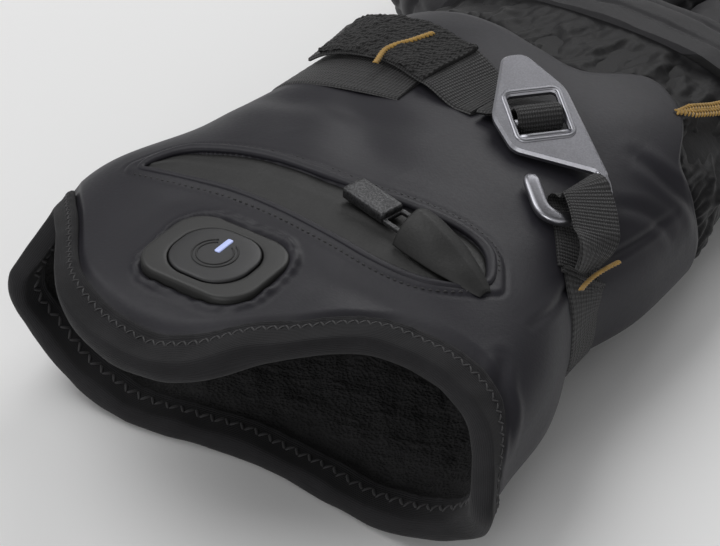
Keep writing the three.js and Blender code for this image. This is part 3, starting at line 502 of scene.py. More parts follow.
class Board:
    """A material's nodes."""

    def __init__(self, name: str) -> None:
        """Makes a material with one Principled shader.

        Args:
            name: the material's name.
        """
        self.material = bpy.data.materials.new(name)
        self.material.use_nodes = True
        self.nodes = self.material.node_tree.nodes
        self.links = self.material.node_tree.links
        self.shader = self.nodes["Principled BSDF"]

    def node(
        self,
        kind: str,
        settings: Optional[dict] = None,
        inputs: Optional[dict] = None,
        output: Union[int, str] = 0,
    ) -> Value:
        """Adds a node and returns one of its outputs.

        Args:
            kind: the node's type.
            settings: its own settings; stops is a colour ramp's list of places and colours.
            inputs: values or links for its sockets, by name or number.
            output: which output is returned.

        Returns:
            The output as a Value.
        """
        made = self.nodes.new(kind)
        for name, setting in (settings or {}).items():
            if name == "stops":
                while len(made.color_ramp.elements) < len(setting):
                    made.color_ramp.elements.new(0.5)
                for element, (place, colour) in zip(made.color_ramp.elements, setting):
                    element.position = place
                    element.color = (*colour, 1)
            else:
                setattr(made, name, setting)
        for name, value in (inputs or {}).items():
            self.feed(made.inputs[name], value)
        return Value(self, made.outputs[output])

    def feed(self, socket: bpy.types.NodeSocket, value: Union[Value, float, Sequence[float]]) -> None:
        """Links or sets a socket.

        Args:
            socket: the input.
            value: a link, a number or a vector.
        """
        if isinstance(value, Value):
            self.links.new(value.socket, socket)
        elif hasattr(value, "__len__") and len(value) == 3 and socket.type == "RGBA":
            socket.default_value = (*value, 1)
        else:
            socket.default_value = value

    def set(self, **values: Union[Value, float, Sequence[float]]) -> None:
        """Links or sets the shader's sockets; an underscore in a name stands for a space."""
        for name, value in values.items():
            self.feed(self.shader.inputs[name.replace("_", " ")], value)

    def place(self) -> Value:
        """Returns the object's own coordinates, in metres."""
        return self.node("ShaderNodeTexCoord", output="Object")

    def cloth_place(self) -> Value:
        """Returns the flat coordinates of the cloth, in metres."""
        return self.node("ShaderNodeUVMap", {"uv_map": "cloth"})

    def axis(self, vector: Value, name: str) -> Value:
        """Returns one coordinate of a vector."""
        return self.node("ShaderNodeSeparateXYZ", inputs={0: vector}, output=name)

    def noise(self, vector: Value, scale: float, detail: float = 3.0, roughness: float = 0.55) -> Value:
        """Returns a noise value from 0 to 1."""
        inputs = {"Vector": vector, "Scale": scale, "Detail": detail, "Roughness": roughness}
        return self.node("ShaderNodeTexNoise", inputs=inputs)

    def cells(self, vector: Value, scale: float) -> Value:
        """Returns the distance to the nearest of scattered points."""
        return self.node("ShaderNodeTexVoronoi", inputs={"Vector": vector, "Scale": scale})

    def blend(self, factor: Union[Value, float], first: object, second: object) -> Value:
        """Returns a mix of two colours."""
        inputs = {"Factor": factor, 6: first, 7: second}
        return self.node("ShaderNodeMix", {"data_type": "RGBA"}, inputs, 2)

    def tones(self, factor: Value, colour: Colour, low: float, high: float) -> Value:
        """Returns a colour that runs from one share of itself to another."""
        return self.blend(factor, shade(colour, low), shade(colour, high))

    def bump(self, height: Value, depth: float, strength: float = 1.0) -> Value:
        """Returns a normal bent by a height.

        Args:
            height: the height's shape, about 0 to 1.
            depth: how deep a height of 1 is, in metres.
            strength: how much of it is used.

        Returns:
            The normal.
        """
        inputs = {"Height": height, "Distance": depth, "Strength": strength}
        return self.node("ShaderNodeBump", inputs=inputs)


# Finishes


class Finish:
    """A finish that becomes one material."""

    name: str

    def build(self) -> bpy.types.Material:
        """Returns the material."""
        board = Board(self.name)
        self.paint(board)
        return board.material

    def paint(self, board: Board) -> None:
        """Sets the shader of a board; each finish does it in its own way."""
        raise NotImplementedError(board)


@dataclass(frozen=True)
class Softshell(Finish):
    """Smooth satin cloth with a very fine weave."""

    name: str = "softshell"
    colour: Colour = (0.0165, 0.0157, 0.0205)
    roughness: float = 0.48
    sheen: float = 0.02
    weave: float = 2600.0
    mottle_scale: float = 60.0
    fine_scale: float = 900.0

    def paint(self, board: Board) -> None:
        """Sets the board's shader."""
        place, flat = board.place(), board.cloth_place()
        mottle = board.noise(place, self.mottle_scale, 4.0)
        fine = board.noise(place, self.fine_scale, 2.0)
        across = (board.axis(flat, "X") * self.weave * 2).sine()
        along = (board.axis(flat, "Y") * self.weave * 2).sine()
        height = across * along * 0.06 + fine * 0.9 + mottle * 0.8
        board.set(
            Base_Color=board.tones(mottle, self.colour, 0.82, 1.16),
            Roughness=self.roughness + (fine - 0.5) * 0.12,
            Normal=board.bump(height, 0.0001, 0.45),
            Sheen_Weight=self.sheen,
            Sheen_Roughness=0.45,
            Specular_IOR_Level=0.26,
        )


@dataclass(frozen=True)
class Fleece(Finish):
    """Short brushed pile with clumps."""

    name: str = "fleece"
    colour: Colour = (0.034, 0.0335, 0.0345)
    clump_scale: float = 260.0
    pile_scale: float = 900.0
    patch_scale: float = 45.0

    def paint(self, board: Board) -> None:
        """Sets the board's shader."""
        place = board.place()
        clump = board.noise(place, self.clump_scale, 6.0, 0.7)
        pile = board.cells(place, self.pile_scale)
        patch = board.noise(place, self.patch_scale, 3.0)
        tone = (clump * 0.7 + patch * 0.5).least(1.0)
        board.set(
            Base_Color=board.tones(tone, self.colour, 0.45, 1.7),
            Roughness=0.95,
            Normal=board.bump(clump + pile * 0.6, 0.0008, 0.9),
            Sheen_Weight=0.06,
            Sheen_Roughness=0.6,
            Specular_IOR_Level=0.15,
        )


@dataclass(frozen=True)
class Knit(Finish):
    """Elastic binding with fine ribs along its length."""

    name: str = "knit"
    colour: Colour = (0.0125, 0.0122, 0.0135)
    ribs: float = 9500.0
    worn_scale: float = 160.0

    def paint(self, board: Board) -> None:
        """Sets the board's shader."""
        place, flat = board.place(), board.cloth_place()
        ribs = (board.axis(flat, "X") * self.ribs).sine()
        loops = (board.axis(flat, "Y") * self.ribs * 1.6).sine()
        worn = board.noise(place, self.worn_scale, 5.0, 0.65)
        height = ribs * 0.5 + loops * 0.25 * ribs + worn * 1.1
        board.set(
            Base_Color=board.tones(worn, self.colour, 0.6, 1.5),
            Roughness=0.86,
            Normal=board.bump(height, 0.00012, 0.7),
            Sheen_Weight=0.05,
            Sheen_Roughness=0.5,
            Specular_IOR_Level=0.25,
        )


@dataclass(frozen=True)
class Webbing(Finish):
    """Ribbed nylon webbing."""

    name: str = "webbing"
    colour: Colour = (0.0085, 0.0083, 0.0087)
    pitch: float = 0.0011
    fibre_scale: float = 1500.0

    def paint(self, board: Board) -> None:
        """Sets the board's shader."""
        place, flat = board.place(), board.cloth_place()
        turn = 2 * math.pi / self.pitch
        ribs = (board.axis(flat, "Y") * turn).sine()
        yarns = (board.axis(flat, "X") * turn * 1.4).sine()
        fibre = board.noise(place, self.fibre_scale, 3.0)
        height = (ribs * 0.6 + yarns * 0.45).most(-0.5) + fibre * 0.8
        # The colour follows the rib height: painted shade in the grooves, a painted highlight on the crests,
        # and random fibre tone.
        board.set(
            Base_Color=board.tones((height * 0.7 + 0.2).held(), self.colour, 0.3, 4.2),
            Roughness=0.62,
            Normal=board.bump(height, 0.00028, 0.9),
            Sheen_Weight=0.12,
            Sheen_Roughness=0.4,
            Specular_IOR_Level=0.4,
        )


@dataclass(frozen=True)
class Elastic(Finish):
    """Coarse knotted elastic."""

    name: str = "knotted_elastic"
    colour: Colour = (0.0095, 0.0092, 0.0095)
    pitch: float = 0.0017
    fibre_scale: float = 1100.0

    def paint(self, board: Board) -> None:
        """Sets the board's shader."""
        place, flat = board.place(), board.cloth_place()
        turn = 2 * math.pi / self.pitch
        rows = (board.axis(flat, "Y") * turn).sine()
        loops = (board.axis(flat, "X") * turn * 0.9 + rows * 0.8).sine()
        fibre = board.noise(place, self.fibre_scale, 4.0, 0.7)
        height = rows * loops * 0.6 + fibre * 1.1
        # The tone follows the knot height: painted shade between the knots, a painted highlight on them, and
        # random fibre tone.
        tone = (height * 0.6 + 0.1).held()
        board.set(
            Base_Color=board.tones(tone, self.colour, 0.3, 2.6),
            Roughness=0.72,
            Normal=board.bump(height, 0.0006, 1.0),
            Sheen_Weight=0.06,
            Specular_IOR_Level=0.35,
        )


@dataclass(frozen=True)
class Laminate(Finish):
    """Rubber-faced tape with a fine speckle."""

    name: str = "laminate"
    colour: Colour = (0.0105, 0.0105, 0.0103)
    roughness: float = 0.58
    speckle_scale: float = 1300.0
    dust_scale: float = 380.0

    def paint(self, board: Board) -> None:
        """Sets the board's shader."""
        place = board.place()
        speckle = board.noise(place, self.speckle_scale, 2.0, 0.5)
        dust = board.noise(place, self.dust_scale, 4.0, 0.8)
        bright = (dust * dust * 1.4).least(1.0)
        board.set(
            Base_Color=board.tones(bright, self.colour, 0.75, 1.5),
            Roughness=self.roughness + (speckle - 0.5) * 0.2,
            Normal=board.bump(speckle, 0.00012, 0.6),
            Specular_IOR_Level=0.45,
        )


@dataclass(frozen=True)
class Crumple(Finish):
    """Thin nylon with a soft shine."""

    name: str = "crumpled_nylon"
    colour: Colour = (0.006, 0.0058, 0.0067)
    crease_scale: float = 210.0
    weave_scale: float = 2400.0

    def paint(self, board: Board) -> None:
        """Sets the board's shader."""
        place = board.place()
        crease = board.noise(place, self.crease_scale, 5.0, 0.6)
        weave = board.noise(place, self.weave_scale, 1.0)
        # The colour follows the crease bump: painted shade in its hollows and a painted highlight on its
        # ridges.
        board.set(
            Base_Color=board.tones(crease, self.colour, 0.7, 1.35),
            Roughness=0.5 + weave * 0.12,
            Normal=board.bump(crease + weave * 0.15, 0.0006, 0.55),
            Sheen_Weight=0.03,
            Specular_IOR_Level=0.2,
        )


@dataclass(frozen=True)
class Grained(Finish):
    """A finish whose tone and grain vary evenly: leather, moulded silicone or thread.

    Attributes:
        name: the material's name.
        colour: its middle colour.
        tone: the scale, detail and roughness of the noise behind the tone.
        shares: the darkest and the lightest share of the colour.
        grain: the same three numbers for the grain; a detail of 0 gives cells.
        roughness: the roughness, and how far the tone moves it, or the grain on a finish with sheen.
        depth: the grain's depth in metres, and how much of it is used.
        sheen: the weight of the sheen.
        specular: the specular level.
    """

    name: str
    colour: Colour
    tone: Triple
    shares: Pair
    grain: Triple
    roughness: Pair
    depth: Pair
    sheen: float = 0.0
    specular: float = 0.5

    def paint(self, board: Board) -> None:
        """Sets the board's shader."""
        place = board.place()
        grain = board.noise(place, *self.grain) if self.grain[1] else board.cells(place, self.grain[0])
        tone = board.noise(place, *self.tone)
        board.set(
            Base_Color=board.tones(tone, self.colour, *self.shares),
            Roughness=self.roughness[0] + (grain if self.sheen else tone) * self.roughness[1],
            Normal=board.bump(grain, *self.depth),
            Sheen_Weight=self.sheen,
            Specular_IOR_Level=self.specular,
        )


@dataclass(frozen=True)
class Metal(Finish):
    """Plated or coated metal with grain, rubbed tone and painted highlights on its turned edges."""

    name: str
    colour: Colour
    roughness: float
    grain: float
    metallic: float = 1.0
    speckle: float = 0.12
    facing: Triple = (0.0, 0.0, 1.0)
    # edge: how many times lighter the painted highlight on turned edges is; 1 or less paints none.
    edge: float = 1.0
    grain_scale: float = 1800.0
    rub_scale: float = 120.0

    def paint(self, board: Board) -> None:
        """Sets the board's shader."""
        place = board.place()
        grain = board.noise(place, self.grain_scale, 3.0, 0.6)
        rub = board.noise(place, self.rub_scale, 5.0, 0.7)
        fleck = (grain * 3.0 + rub - 1.5).held()
        tone = board.tones(fleck, self.colour, 1 - self.speckle, 1 + self.speckle)
        # Painted highlight: edges whose normal turns away from facing get a lighter colour, as lit bevels
        # would.
        if self.edge > 1:
            normal = board.node("ShaderNodeTexCoord", output="Normal")
            inputs = {0: normal, 1: self.facing}
            level = board.node("ShaderNodeVectorMath", {"operation": "DOT_PRODUCT"}, inputs, "Value")
            edge_highlight_mask = ((0.97 - level) * 6.0).held()
            tone = board.blend(edge_highlight_mask, tone, shade(self.colour, self.edge))
        board.set(
            Base_Color=tone,
            Roughness=self.roughness + (rub - 0.5) * 0.16,
            Metallic=self.metallic,
            Normal=board.bump(grain, self.grain, 0.5),
        )


@dataclass(frozen=True)
class Lamp(Finish):
    """A lit translucent mark."""

    name: str = "lit_mark"
    colour: Colour = (0.45, 0.52, 0.85)
    glow_scale: float = 500.0

    def paint(self, board: Board) -> None:
        """Sets the board's shader."""
        glow = board.noise(board.place(), self.glow_scale, 2.0)
        board.set(
            Base_Color=board.blend(glow, shade(self.colour, 0.9), self.colour),
            Emission_Color=board.blend(glow, shade(self.colour, 0.85), self.colour),
            Emission_Strength=0.35,
            Roughness=0.35,
        )


class Finishes:
    """The finishes, each built once."""

    def __init__(self) -> None:
        """Builds every finish that the glove uses."""
        self.softshell = Softshell().build()
        self.fleece = Fleece().build()
        self.knit = Knit().build()
        self.webbing = Webbing().build()
        self.elastic = Elastic().build()
        self.laminate = Laminate().build()
        self.crumple = Crumple().build()
        self.leather = Grained(
            "palm_leather", (0.0095, 0.0095, 0.01), (70.0, 4.0, 0.55), (0.7, 1.7), (620.0, 0.0, 0.0),
            (0.48, 0.14), (0.00025, 0.7), specular=0.45,
        ).build()
        self.hand_cloth = Softshell("hand_cloth", (0.013, 0.0125, 0.0148), 0.56, 0.02, 1500.0).build()
        self.plate = self.rubber("plate_rubber", (0.0155, 0.0155, 0.015), 0.5)
        self.key = self.rubber("key_rubber", (0.0185, 0.0185, 0.0198), 0.48)
        self.groove = self.rubber("groove_rubber", (0.011, 0.011, 0.011), 0.6)
        self.gunmetal = Metal("gunmetal", (0.055, 0.055, 0.057), 0.42, 0.0002, 0.8, 0.6).build()
        # The plate's bevels and rounded parts get a painted highlight, 2.6 times its colour.
        self.bright = Metal(
            "bright_plate", (0.185, 0.185, 0.2), 0.33, 0.00003, facing=(0.194, -0.146, 0.97), edge=2.6
        ).build()
        self.gold = self.thread("gold_thread", (0.40, 0.235, 0.045), 0.3)
        self.grey_thread = self.thread("grey_thread", (0.034, 0.033, 0.035), 0.1)
        self.dark_thread = self.thread("dark_thread", (0.016, 0.0155, 0.017), 0.1)
        self.lamp = Lamp().build()

    @staticmethod
    def rubber(name: str, colour: Colour, roughness: float) -> bpy.types.Material:
        """Returns moulded silicone with a faint tooth."""
        swing = 0.14
        return Grained(
            name, colour, (70.0, 4.0, 0.55), (0.9, 1.1), (2600.0, 2.0, 0.55),
            (roughness - swing / 2, swing), (0.00003, 0.5),
        ).build()

    @staticmethod
    def thread(name: str, colour: Colour, sheen: float) -> bpy.types.Material:
        """Returns twisted sewing thread."""
        return Grained(
            name, colour, (300.0, 3.0, 0.6), (0.55, 1.35), (1700.0, 3.0, 0.6),
            (0.55, 0.1), (0.00015, 0.7), sheen, 0.4,
        ).build()


# Mesh making


@dataclass
class Mesh:
    """Points and faces on their way to becoming a piece."""

    points: Array
    faces: list
    uv: Optional[Array] = None

    @staticmethod
    def joined(parts: Iterable["Mesh"]) -> "Mesh":
        """Returns one mesh that holds all of parts, without their cloth coordinates.

        Args:
            parts: the meshes.

        Returns:
            The joined mesh.
        """
        points, faces, start = [], [], 0
        for part in parts:
            points.append(part.points)
            faces.extend([[i + start for i in face] for face in part.faces])
            start += len(part.points)
        return Mesh(np.concatenate(points), faces)

    def piece(
        self,
        name: str,
        material: bpy.types.Material,
        slot: str,
        body: Body = Body.GLOVE,
        replaces: Sequence[str] = (),
    ) -> Piece:
        """Makes the Blender object, hangs it on its body and hides the nodes that it replaces.

        Args:
            name: the piece's name.
            material: its finish.
            slot: the record's material slot; it is not used.
            body: the body that it rides on.
            replaces: the nodes that it stands for.

        Returns:
            The object.
        """
        data = bpy.data.meshes.new(name)
        points = FORM.to_frame(self.points)
        points[:, 2] = np.maximum(points[:, 2], FLOOR_GAP * MM)
        data.from_pydata(points.tolist(), [], self.faces)
        if self.uv is not None:
            layer = data.uv_layers.new(name="cloth")
            layer.data.foreach_set("uv", (self.uv * MM).astype(np.float32).ravel())
        data.update()
        edit = bmesh.new()
        edit.from_mesh(data)
        if edit.calc_volume(signed=True) < 0:
            bmesh.ops.reverse_faces(edit, faces=edit.faces[:])
        edit.to_mesh(data)
        edit.free()
        data.polygons.foreach_set("use_smooth", [True] * len(data.polygons))
        data.materials.append(material)
        made = bpy.data.objects.new(name, data)
        bpy.context.scene.collection.objects.link(made)
        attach(made, body.value)
        if replaces:
            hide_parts(*replaces)
        LOG.info("%s: %d faces", name, len(data.polygons))
        return made


def loft(loops: Array, ends: Ends) -> Mesh:
    """Makes a closed body over loops of points.

    Args:
        loops: an array of loops, points and coordinates; each loop closes on itself.
        ends: how the loops end.

    Returns:
        The mesh, with cloth coordinates in millimetres: X round the loop and Y along the loops.
    """
    rows, size = loops.shape[:2]
    ring = ends is Ends.RING
    steps = rows if ring else rows - 1
    r, s = np.meshgrid(np.arange(steps), np.arange(size), indexing="ij")
    r2, s2 = (r + 1) % rows, (s + 1) % size
    faces = np.stack([r * size + s, r * size + s2, r2 * size + s2, r2 * size + s], axis=-1).reshape(-1, 4)
    girth = np.linalg.norm(np.roll(loops, -1, axis=1) - loops, axis=-1).mean(axis=0)
    u = np.concatenate([[0], np.cumsum(girth)])
    run = np.linalg.norm(np.roll(loops, -1, axis=0) - loops, axis=-1).mean(axis=1)
    v = np.concatenate([[0], np.cumsum(run)])
    corners = [(s, r), (s + 1, r), (s + 1, r + 1), (s, r + 1)]
    uv = np.stack([np.stack([u[a], v[b]], axis=-1) for a, b in corners], axis=-2).reshape(-1, 2)
    points = loops.reshape(-1, 3)
    made = faces.tolist()
    extra: list[Array] = []
    if not ring:
        for start, turn in ((0, False), ((rows - 1) * size, True)):
            if ends is Ends.STRIPS:
                caps = [
                    [start + k, start + size - 1 - k, start + size - 2 - k, start + k + 1]
                    for k in range(size // 2 - 1)
                ]
            else:
                hub = len(points)
                points = np.concatenate([points, points[start : start + size].mean(axis=0)[None]])
                caps = [[hub, start + (k + 1) % size, start + k] for k in range(size)]
            caps = [cap[::-1] if turn else cap for cap in caps]
            made.extend(caps)
            extra.append(np.zeros((sum(len(cap) for cap in caps), 2)))
    return Mesh(points, made, np.concatenate([uv, *extra]))


def rounded_rect(length: float, width: float, corner: float, steps: int = 8) -> Array:
    """Returns the plan points of a rectangle with round corners, anticlockwise.

    Args:
        length: its size along X.
        width: its size along Y.
        corner: the corners' radius.
        steps: each corner's steps.

    Returns:
        An array of points.
    """
    points = []
    for turn, (sx, sy) in enumerate([(1, 1), (-1, 1), (-1, -1), (1, -1)]):
        centre = np.array([sx * (length / 2 - corner), sy * (width / 2 - corner)])
        for step in range(steps + 1):
            angle = math.radians(90 * turn + 90 * step / steps)
            points.append(centre + corner * np.array([math.cos(angle), math.sin(angle)]))
    return np.array(points)


STITCH_SIDES = 6
STITCH_RINGS = (-0.5, -0.4, -0.15, 0.15, 0.4, 0.5)
STITCH_FLAT = 0.7
STITCH_DIP = 1.2


def strokes(centres: Array, alongs: Array, ups: Array, length: float, radius: float) -> Mesh:
    """Makes short stitches, each a slim rounded body.

    Args:
        centres: the middle of each stitch.
        alongs: its direction.
        ups: the direction away from the cloth.
        length: the stitch's length.
        radius: its half width.

    Returns:
        The mesh of all the stitches.
    """
    sides, rings = STITCH_SIDES, STITCH_RINGS
    along = alongs / np.linalg.norm(alongs, axis=-1, keepdims=True)
    side = np.cross(along, ups)
    side /= np.linalg.norm(side, axis=-1, keepdims=True)
    up = np.cross(side, along)
    shape = []
    for ring in rings:
        share = math.sqrt(max(1 - (2 * ring) ** 4, 0.04))
        for k in range(sides):
            turn = 2 * math.pi * (k + 0.5) / sides
            lift = -STITCH_DIP * radius * (2 * ring) ** 2
            shape.append((ring * length, share * radius * math.cos(turn),
                          share * radius * STITCH_FLAT * math.sin(turn) + lift))
    shape = np.array(shape)
    points = (
        centres[:, None]
        + shape[None, :, :1] * along[:, None]
        + shape[None, :, 1:2] * side[:, None]
        + shape[None, :, 2:] * up[:, None]
    )
    faces = []
    for r in range(len(rings) - 1):
        for k in range(sides):
            a, b = r * sides + k, r * sides + (k + 1) % sides
            faces.append([a, b, b + sides, a + sides])
    faces.append(list(range(sides))[::-1])
    last = (len(rings) - 1) * sides
    faces.append([last + k for k in range(sides)])
    return Mesh.joined(Mesh(stitch, faces) for stitch in points)


def frames_along(line: Array, closed: bool = False) -> tuple[Array, Array]:
    """Returns each point's distance along a line, and its direction.

    Args:
        line: the line's points.
        closed: whether the last point joins the first.

    Returns:
        The distances and the unit directions.
    """
    if closed:
        direction = np.roll(line, -1, axis=0) - np.roll(line, 1, axis=0)
    else:
        direction = np.gradient(line, axis=0)
    lengths = np.concatenate([[0], np.cumsum(np.linalg.norm(np.diff(line, axis=0), axis=1))])
    return lengths, direction / np.linalg.norm(direction, axis=1, keepdims=True)


def section_ways(line: Array, sides: Array, closed: bool = False) -> tuple[Array, Array]:
    """Returns the section's sideways and upward directions at each point of a line.

    Args:
        line: the line's points.
        sides: the direction wanted for the width.
        closed: whether the last point joins the first.

    Returns:
        Both as unit vectors at right angles to the line.
    """
    _, along = frames_along(line, closed)
    side = np.broadcast_to(sides, line.shape)
    side = side - (side * along).sum(axis=1, keepdims=True) * along
    side /= np.linalg.norm(side, axis=1, keepdims=True)
    return side, np.cross(along, side)


def spaced(line: Array, pitch: float) -> tuple[Array, Array]:
    """Returns points a pitch apart along a line, and the line's direction there.

    Args:
        line: the line's points.
        pitch: the distance from point to point.

    Returns:
        The points and the directions.
    """
    lengths, direction = frames_along(line)
    places = np.arange(pitch / 2, lengths[-1], pitch)
    points = np.stack([np.interp(places, lengths, line[:, k]) for k in range(3)], axis=1)
    ways = np.stack([np.interp(places, lengths, direction[:, k]) for k in range(3)], axis=1)
    return points, ways


def sweep(
    line: Array,
    sides: Array,
    width: Number,
    height: Number,
    ends: Ends = Ends.FANS,
    power: float = 4.0,
    count: int = 16,
) -> Mesh:
    """Makes a body with a rounded section along a line.

    Args:
        line: the section's middle points.
        sides: the direction of the section's width at each point.
        width: the section's width, or one for each point.
        height: its height, or one for each point.
        ends: how the body ends.
        power: 2 for an ellipse, more for a squarer section.
        count: the points round the section.

    Returns:
        The mesh.
    """
    side, up = section_ways(line, sides, ends is Ends.RING)
    turn = 2 * math.pi * (np.arange(count) + 0.5) / count
    cos, sin = np.cos(turn), np.sin(turn)
    reach = (np.abs(cos) ** power + np.abs(sin) ** power) ** (-1 / power)
    half_width = np.broadcast_to(np.asarray(width) / 2, (len(line),))[:, None, None]
    half_height = np.broadcast_to(np.asarray(height) / 2, (len(line),))[:, None, None]
    loops = (
        line[:, None]
        + side[:, None] * (cos * reach)[None, :, None] * half_width
        + up[:, None] * (sin * reach)[None, :, None] * half_height
    )
    return loft(loops, ends)


def nest(rows: Sequence[Rim], steps: int = 9) -> Mesh:
    """Makes a moulded body of round-cornered loops.

    Args:
        rows: the loops in order, as length, width, corner radius and height.
        steps: the corner's steps.

    Returns:
        The mesh about its own middle.
    """
    loops = []
    for length, width, corner, height in rows:
        plan = rounded_rect(length, width, corner, steps)
        loops.append(np.column_stack([plan, np.full(len(plan), height)]))
    return loft(np.array(loops), Ends.FANS)


def through(points: Sequence[Sequence[float]], steps: int) -> Array:
    """Returns a smooth line through points, with so many steps between each two.

    Args:
        points: the points in order.
        steps: the steps between each two.

    Returns:
        The line's points.
    """
    given = np.array(points, float)
    lengths = np.concatenate([[0], np.cumsum(np.linalg.norm(np.diff(given, axis=0), axis=1))])
    places = np.interp(np.arange((len(given) - 1) * steps + 1) / steps, np.arange(len(given)), lengths)
    return np.stack([Smooth(lengths, given[:, k])(places) for k in range(given.shape[1])], axis=1)


@dataclass(frozen=True)
class Stand:
    """A local frame on the glove, its three directions the rows of axes."""

    origin: Array
    axes: Array

    def __call__(self, points: Array) -> Array:
        """Returns local points in the glove's frame."""
        return self.origin + np.asarray(points, float) @ self.axes

    def mesh(self, mesh: Mesh) -> Mesh:
        """Returns a local mesh in the glove's frame."""
        return Mesh(self(mesh.points), mesh.faces, mesh.uv)


# The glove's pieces


@dataclass
class Zip:
    """The battery pocket's zip: laminated tape, slider, pull and garage."""

    finishes: Finishes
    length: float = 111.0
    width: float = 15.0
    recess: float = 0.5
    tape_thickness: float = 0.8
    clearance: float = 0.35
    pull_width: float = 8.0
    grip_length: float = 16.5
    grip_thickness: float = 3.4
    eye_length: float = 10.3
    eye_thickness: float = 1.4
    eye_side: float = 1.3
    hinge_height: float = 2.4
    garage_length: float = 28.0
    garage_width: float = 15.0
    garage_height: float = 7.2
    garage_wall: float = 0.9
    garage_peak: float = 0.22
    garage_mouth: float = 2.0
    garage_foot: float = 0.9
    turn: float = 4.6
    pull_turn: float = -13.0
    middle: Pair = (-0.066 * 160.0, 0.259 * 145.0)
    hinge: Pair = (0.133 * 160.0, 0.297 * 145.0)
    mouth_rows: Triples = (
        (0.0, 0.0, 0.0), (0.06, 0.05, 0.62), (0.16, 0.08, 0.88), (0.3, 0.08, 1.0), (0.45, 0.2, 0.95),
        (0.6, 0.42, 0.9), (0.75, 0.64, 0.93), (0.87, 0.64, 0.88), (0.95, 0.4, 0.62), (1.0, 0.0, 0.0),
    )
    garage_rows: Triples = (
        (0.0, 0.5, 1.0), (0.18, 0.5, 0.97), (0.42, 0.46, 0.8), (0.7, 0.36, 0.5), (0.92, 0.22, 0.25),
        (1.0, 0.14, 0.17),
    )

    def __post_init__(self) -> None:
        """Works out the zip's curves and the slider's own frame."""
        at, near, far = zip(*self.mouth_rows)
        self.near = Smooth(at, near)
        self.far = Smooth(at, far)
        turn = math.radians(self.pull_turn)
        run = np.array([-math.cos(turn), -math.sin(turn)])
        reach = self.eye_length + self.grip_length
        foot = np.array(self.hinge)
        seats = foot + run * np.array([[0], [reach]])
        heights = FORM.roof(seats[:, 0], seats[:, 1], -self.recess)
        run_axis = np.array([*run, (heights[1] - heights[0]) / reach])
        run_axis /= np.linalg.norm(run_axis)
        side_axis = np.cross([0, 0, 1], run_axis)
        side_axis /= np.linalg.norm(side_axis)
        axes = np.array([run_axis, side_axis, np.cross(run_axis, side_axis)])
        self.stand = Stand(np.array([*foot, heights[0]]), axes)
        self.polygon = self.outline(0.0, 70)

    def plan(self, at: Array, across: Array) -> Array:
        """Returns plan points by share of the length and distance from the line between the tips."""
        turn = math.radians(self.turn)
        along = (np.asarray(at) - 0.5) * self.length
        x = self.middle[0] + along * math.cos(turn) - across * math.sin(turn)
        y = self.middle[1] + along * math.sin(turn) + across * math.cos(turn)
        return np.stack(np.broadcast_arrays(x, y), axis=-1)

    def outline(self, inset: float, count: int) -> Array:
        """Returns the mouth's outline in plan, near side first.

        Args:
            inset: how far inside the mouth it runs; below 0 it is outside.
            count: the points of each side.

        Returns:
            The points, from tip to tip and back.
        """
        at = (np.arange(count) + 0.5) / count
        near = self.plan(at, -np.maximum(self.near(at) * self.width - inset, 0))
        far = self.plan(at, np.maximum(self.far(at) * self.width - inset, 0))
        tips = self.plan(np.array([0.0, 1.0]), np.zeros(2))
        return np.concatenate([tips[:1], near, tips[1:], far[::-1]])

    def distance(self, plan: Array) -> Array:
        """Returns how far plan points are outside the mouth's outline; inside it is negative."""
        closed = np.concatenate([self.polygon, self.polygon[:1]])
        distance, _ = polyline_distance(plan, closed)
        return np.where(inside_polygon(plan, self.polygon), -distance, distance)

    def tape(self) -> Piece:
        """Builds the laminated tape with its closed chain as a low ridge."""
        at = np.linspace(0.012, 0.988, 110)[:, None]
        share = np.linspace(0, 1, 25)[None, :]
        low = -np.maximum(self.near(at) * self.width - self.clearance, 0.1)
        high = np.maximum(self.far(at) * self.width - self.clearance, 0.1)
        plan = self.plan(at, low + share * (high - low))
        crown = 0.45 * (1 - (2 * share - 1) ** 4) + 0.35 * bump_at(share, 0.56, 0.09)
        uneven = 0.12 * Ripple(16.0)(np.concatenate([plan, np.zeros_like(plan[..., :1])], axis=-1))
        top = FORM.on_roof(plan, -self.recess)
        top[..., 2] += crown - 0.4 + uneven
        bottom = FORM.on_roof(plan, -self.recess - self.tape_thickness)
        loops = np.concatenate([top, bottom[:, ::-1]], axis=1)
        mesh = loft(loops, Ends.STRIPS)
        return mesh.piece("zip_laminate", self.finishes.laminate, "zip_tape", replaces=["zip_tape"])

    def welt(self) -> Piece:
        """Builds the rounded lip of cloth round the zip's mouth."""
        line = self.outline(-1.25, 110)
        gaps = np.linalg.norm(np.diff(line[1:], axis=0), axis=1)
        line = np.concatenate([line[:1], line[1:-1][gaps > 0.05]])
        smooth = line.copy()
        for _ in range(3):
            smooth = (np.roll(smooth, 1, axis=0) + 2 * smooth + np.roll(smooth, -1, axis=0)) / 4
        points = FORM.on_roof(smooth, 0.15)
        _, along = frames_along(points, True)
        lumps = Ripple(9.0, seed=3)(points)
        out = np.cross(along, [0, 0, 1])
        far_side = ease((points[:, 1] - self.middle[1]) - 0.08 * (points[:, 0] - self.middle[0]), -3.0, 6.0)
        width = 2.1 + 1.0 * far_side + 0.16 * lumps
        height = 1.7 + 0.5 * far_side + 0.14 * lumps
        mesh = sweep(points, out, width, height, Ends.RING, 2.4, 14)
        return mesh.piece("zip_welt", self.finishes.softshell, "softshell")

    def stitches(self, surface: Callable[[Array], Array]) -> Piece:
        """Builds the stitch rows beside the welt.

        Args:
            surface: gives the shell's points over plan points.
        """
        rows = []
        for out, sides, pitch in ((3.9, slice(0, 112), 2.0), (4.6, slice(112, None), 2.0)):
            line = self.outline(-out, 110)[sides]
            points, along = spaced(surface(line), pitch)
            rows.append(strokes(points, along, np.array([0.0, 0.0, 1.0]), 1.5, 0.34))
        return Mesh.joined(rows).piece("zip_stitches", self.finishes.dark_thread, "softshell")

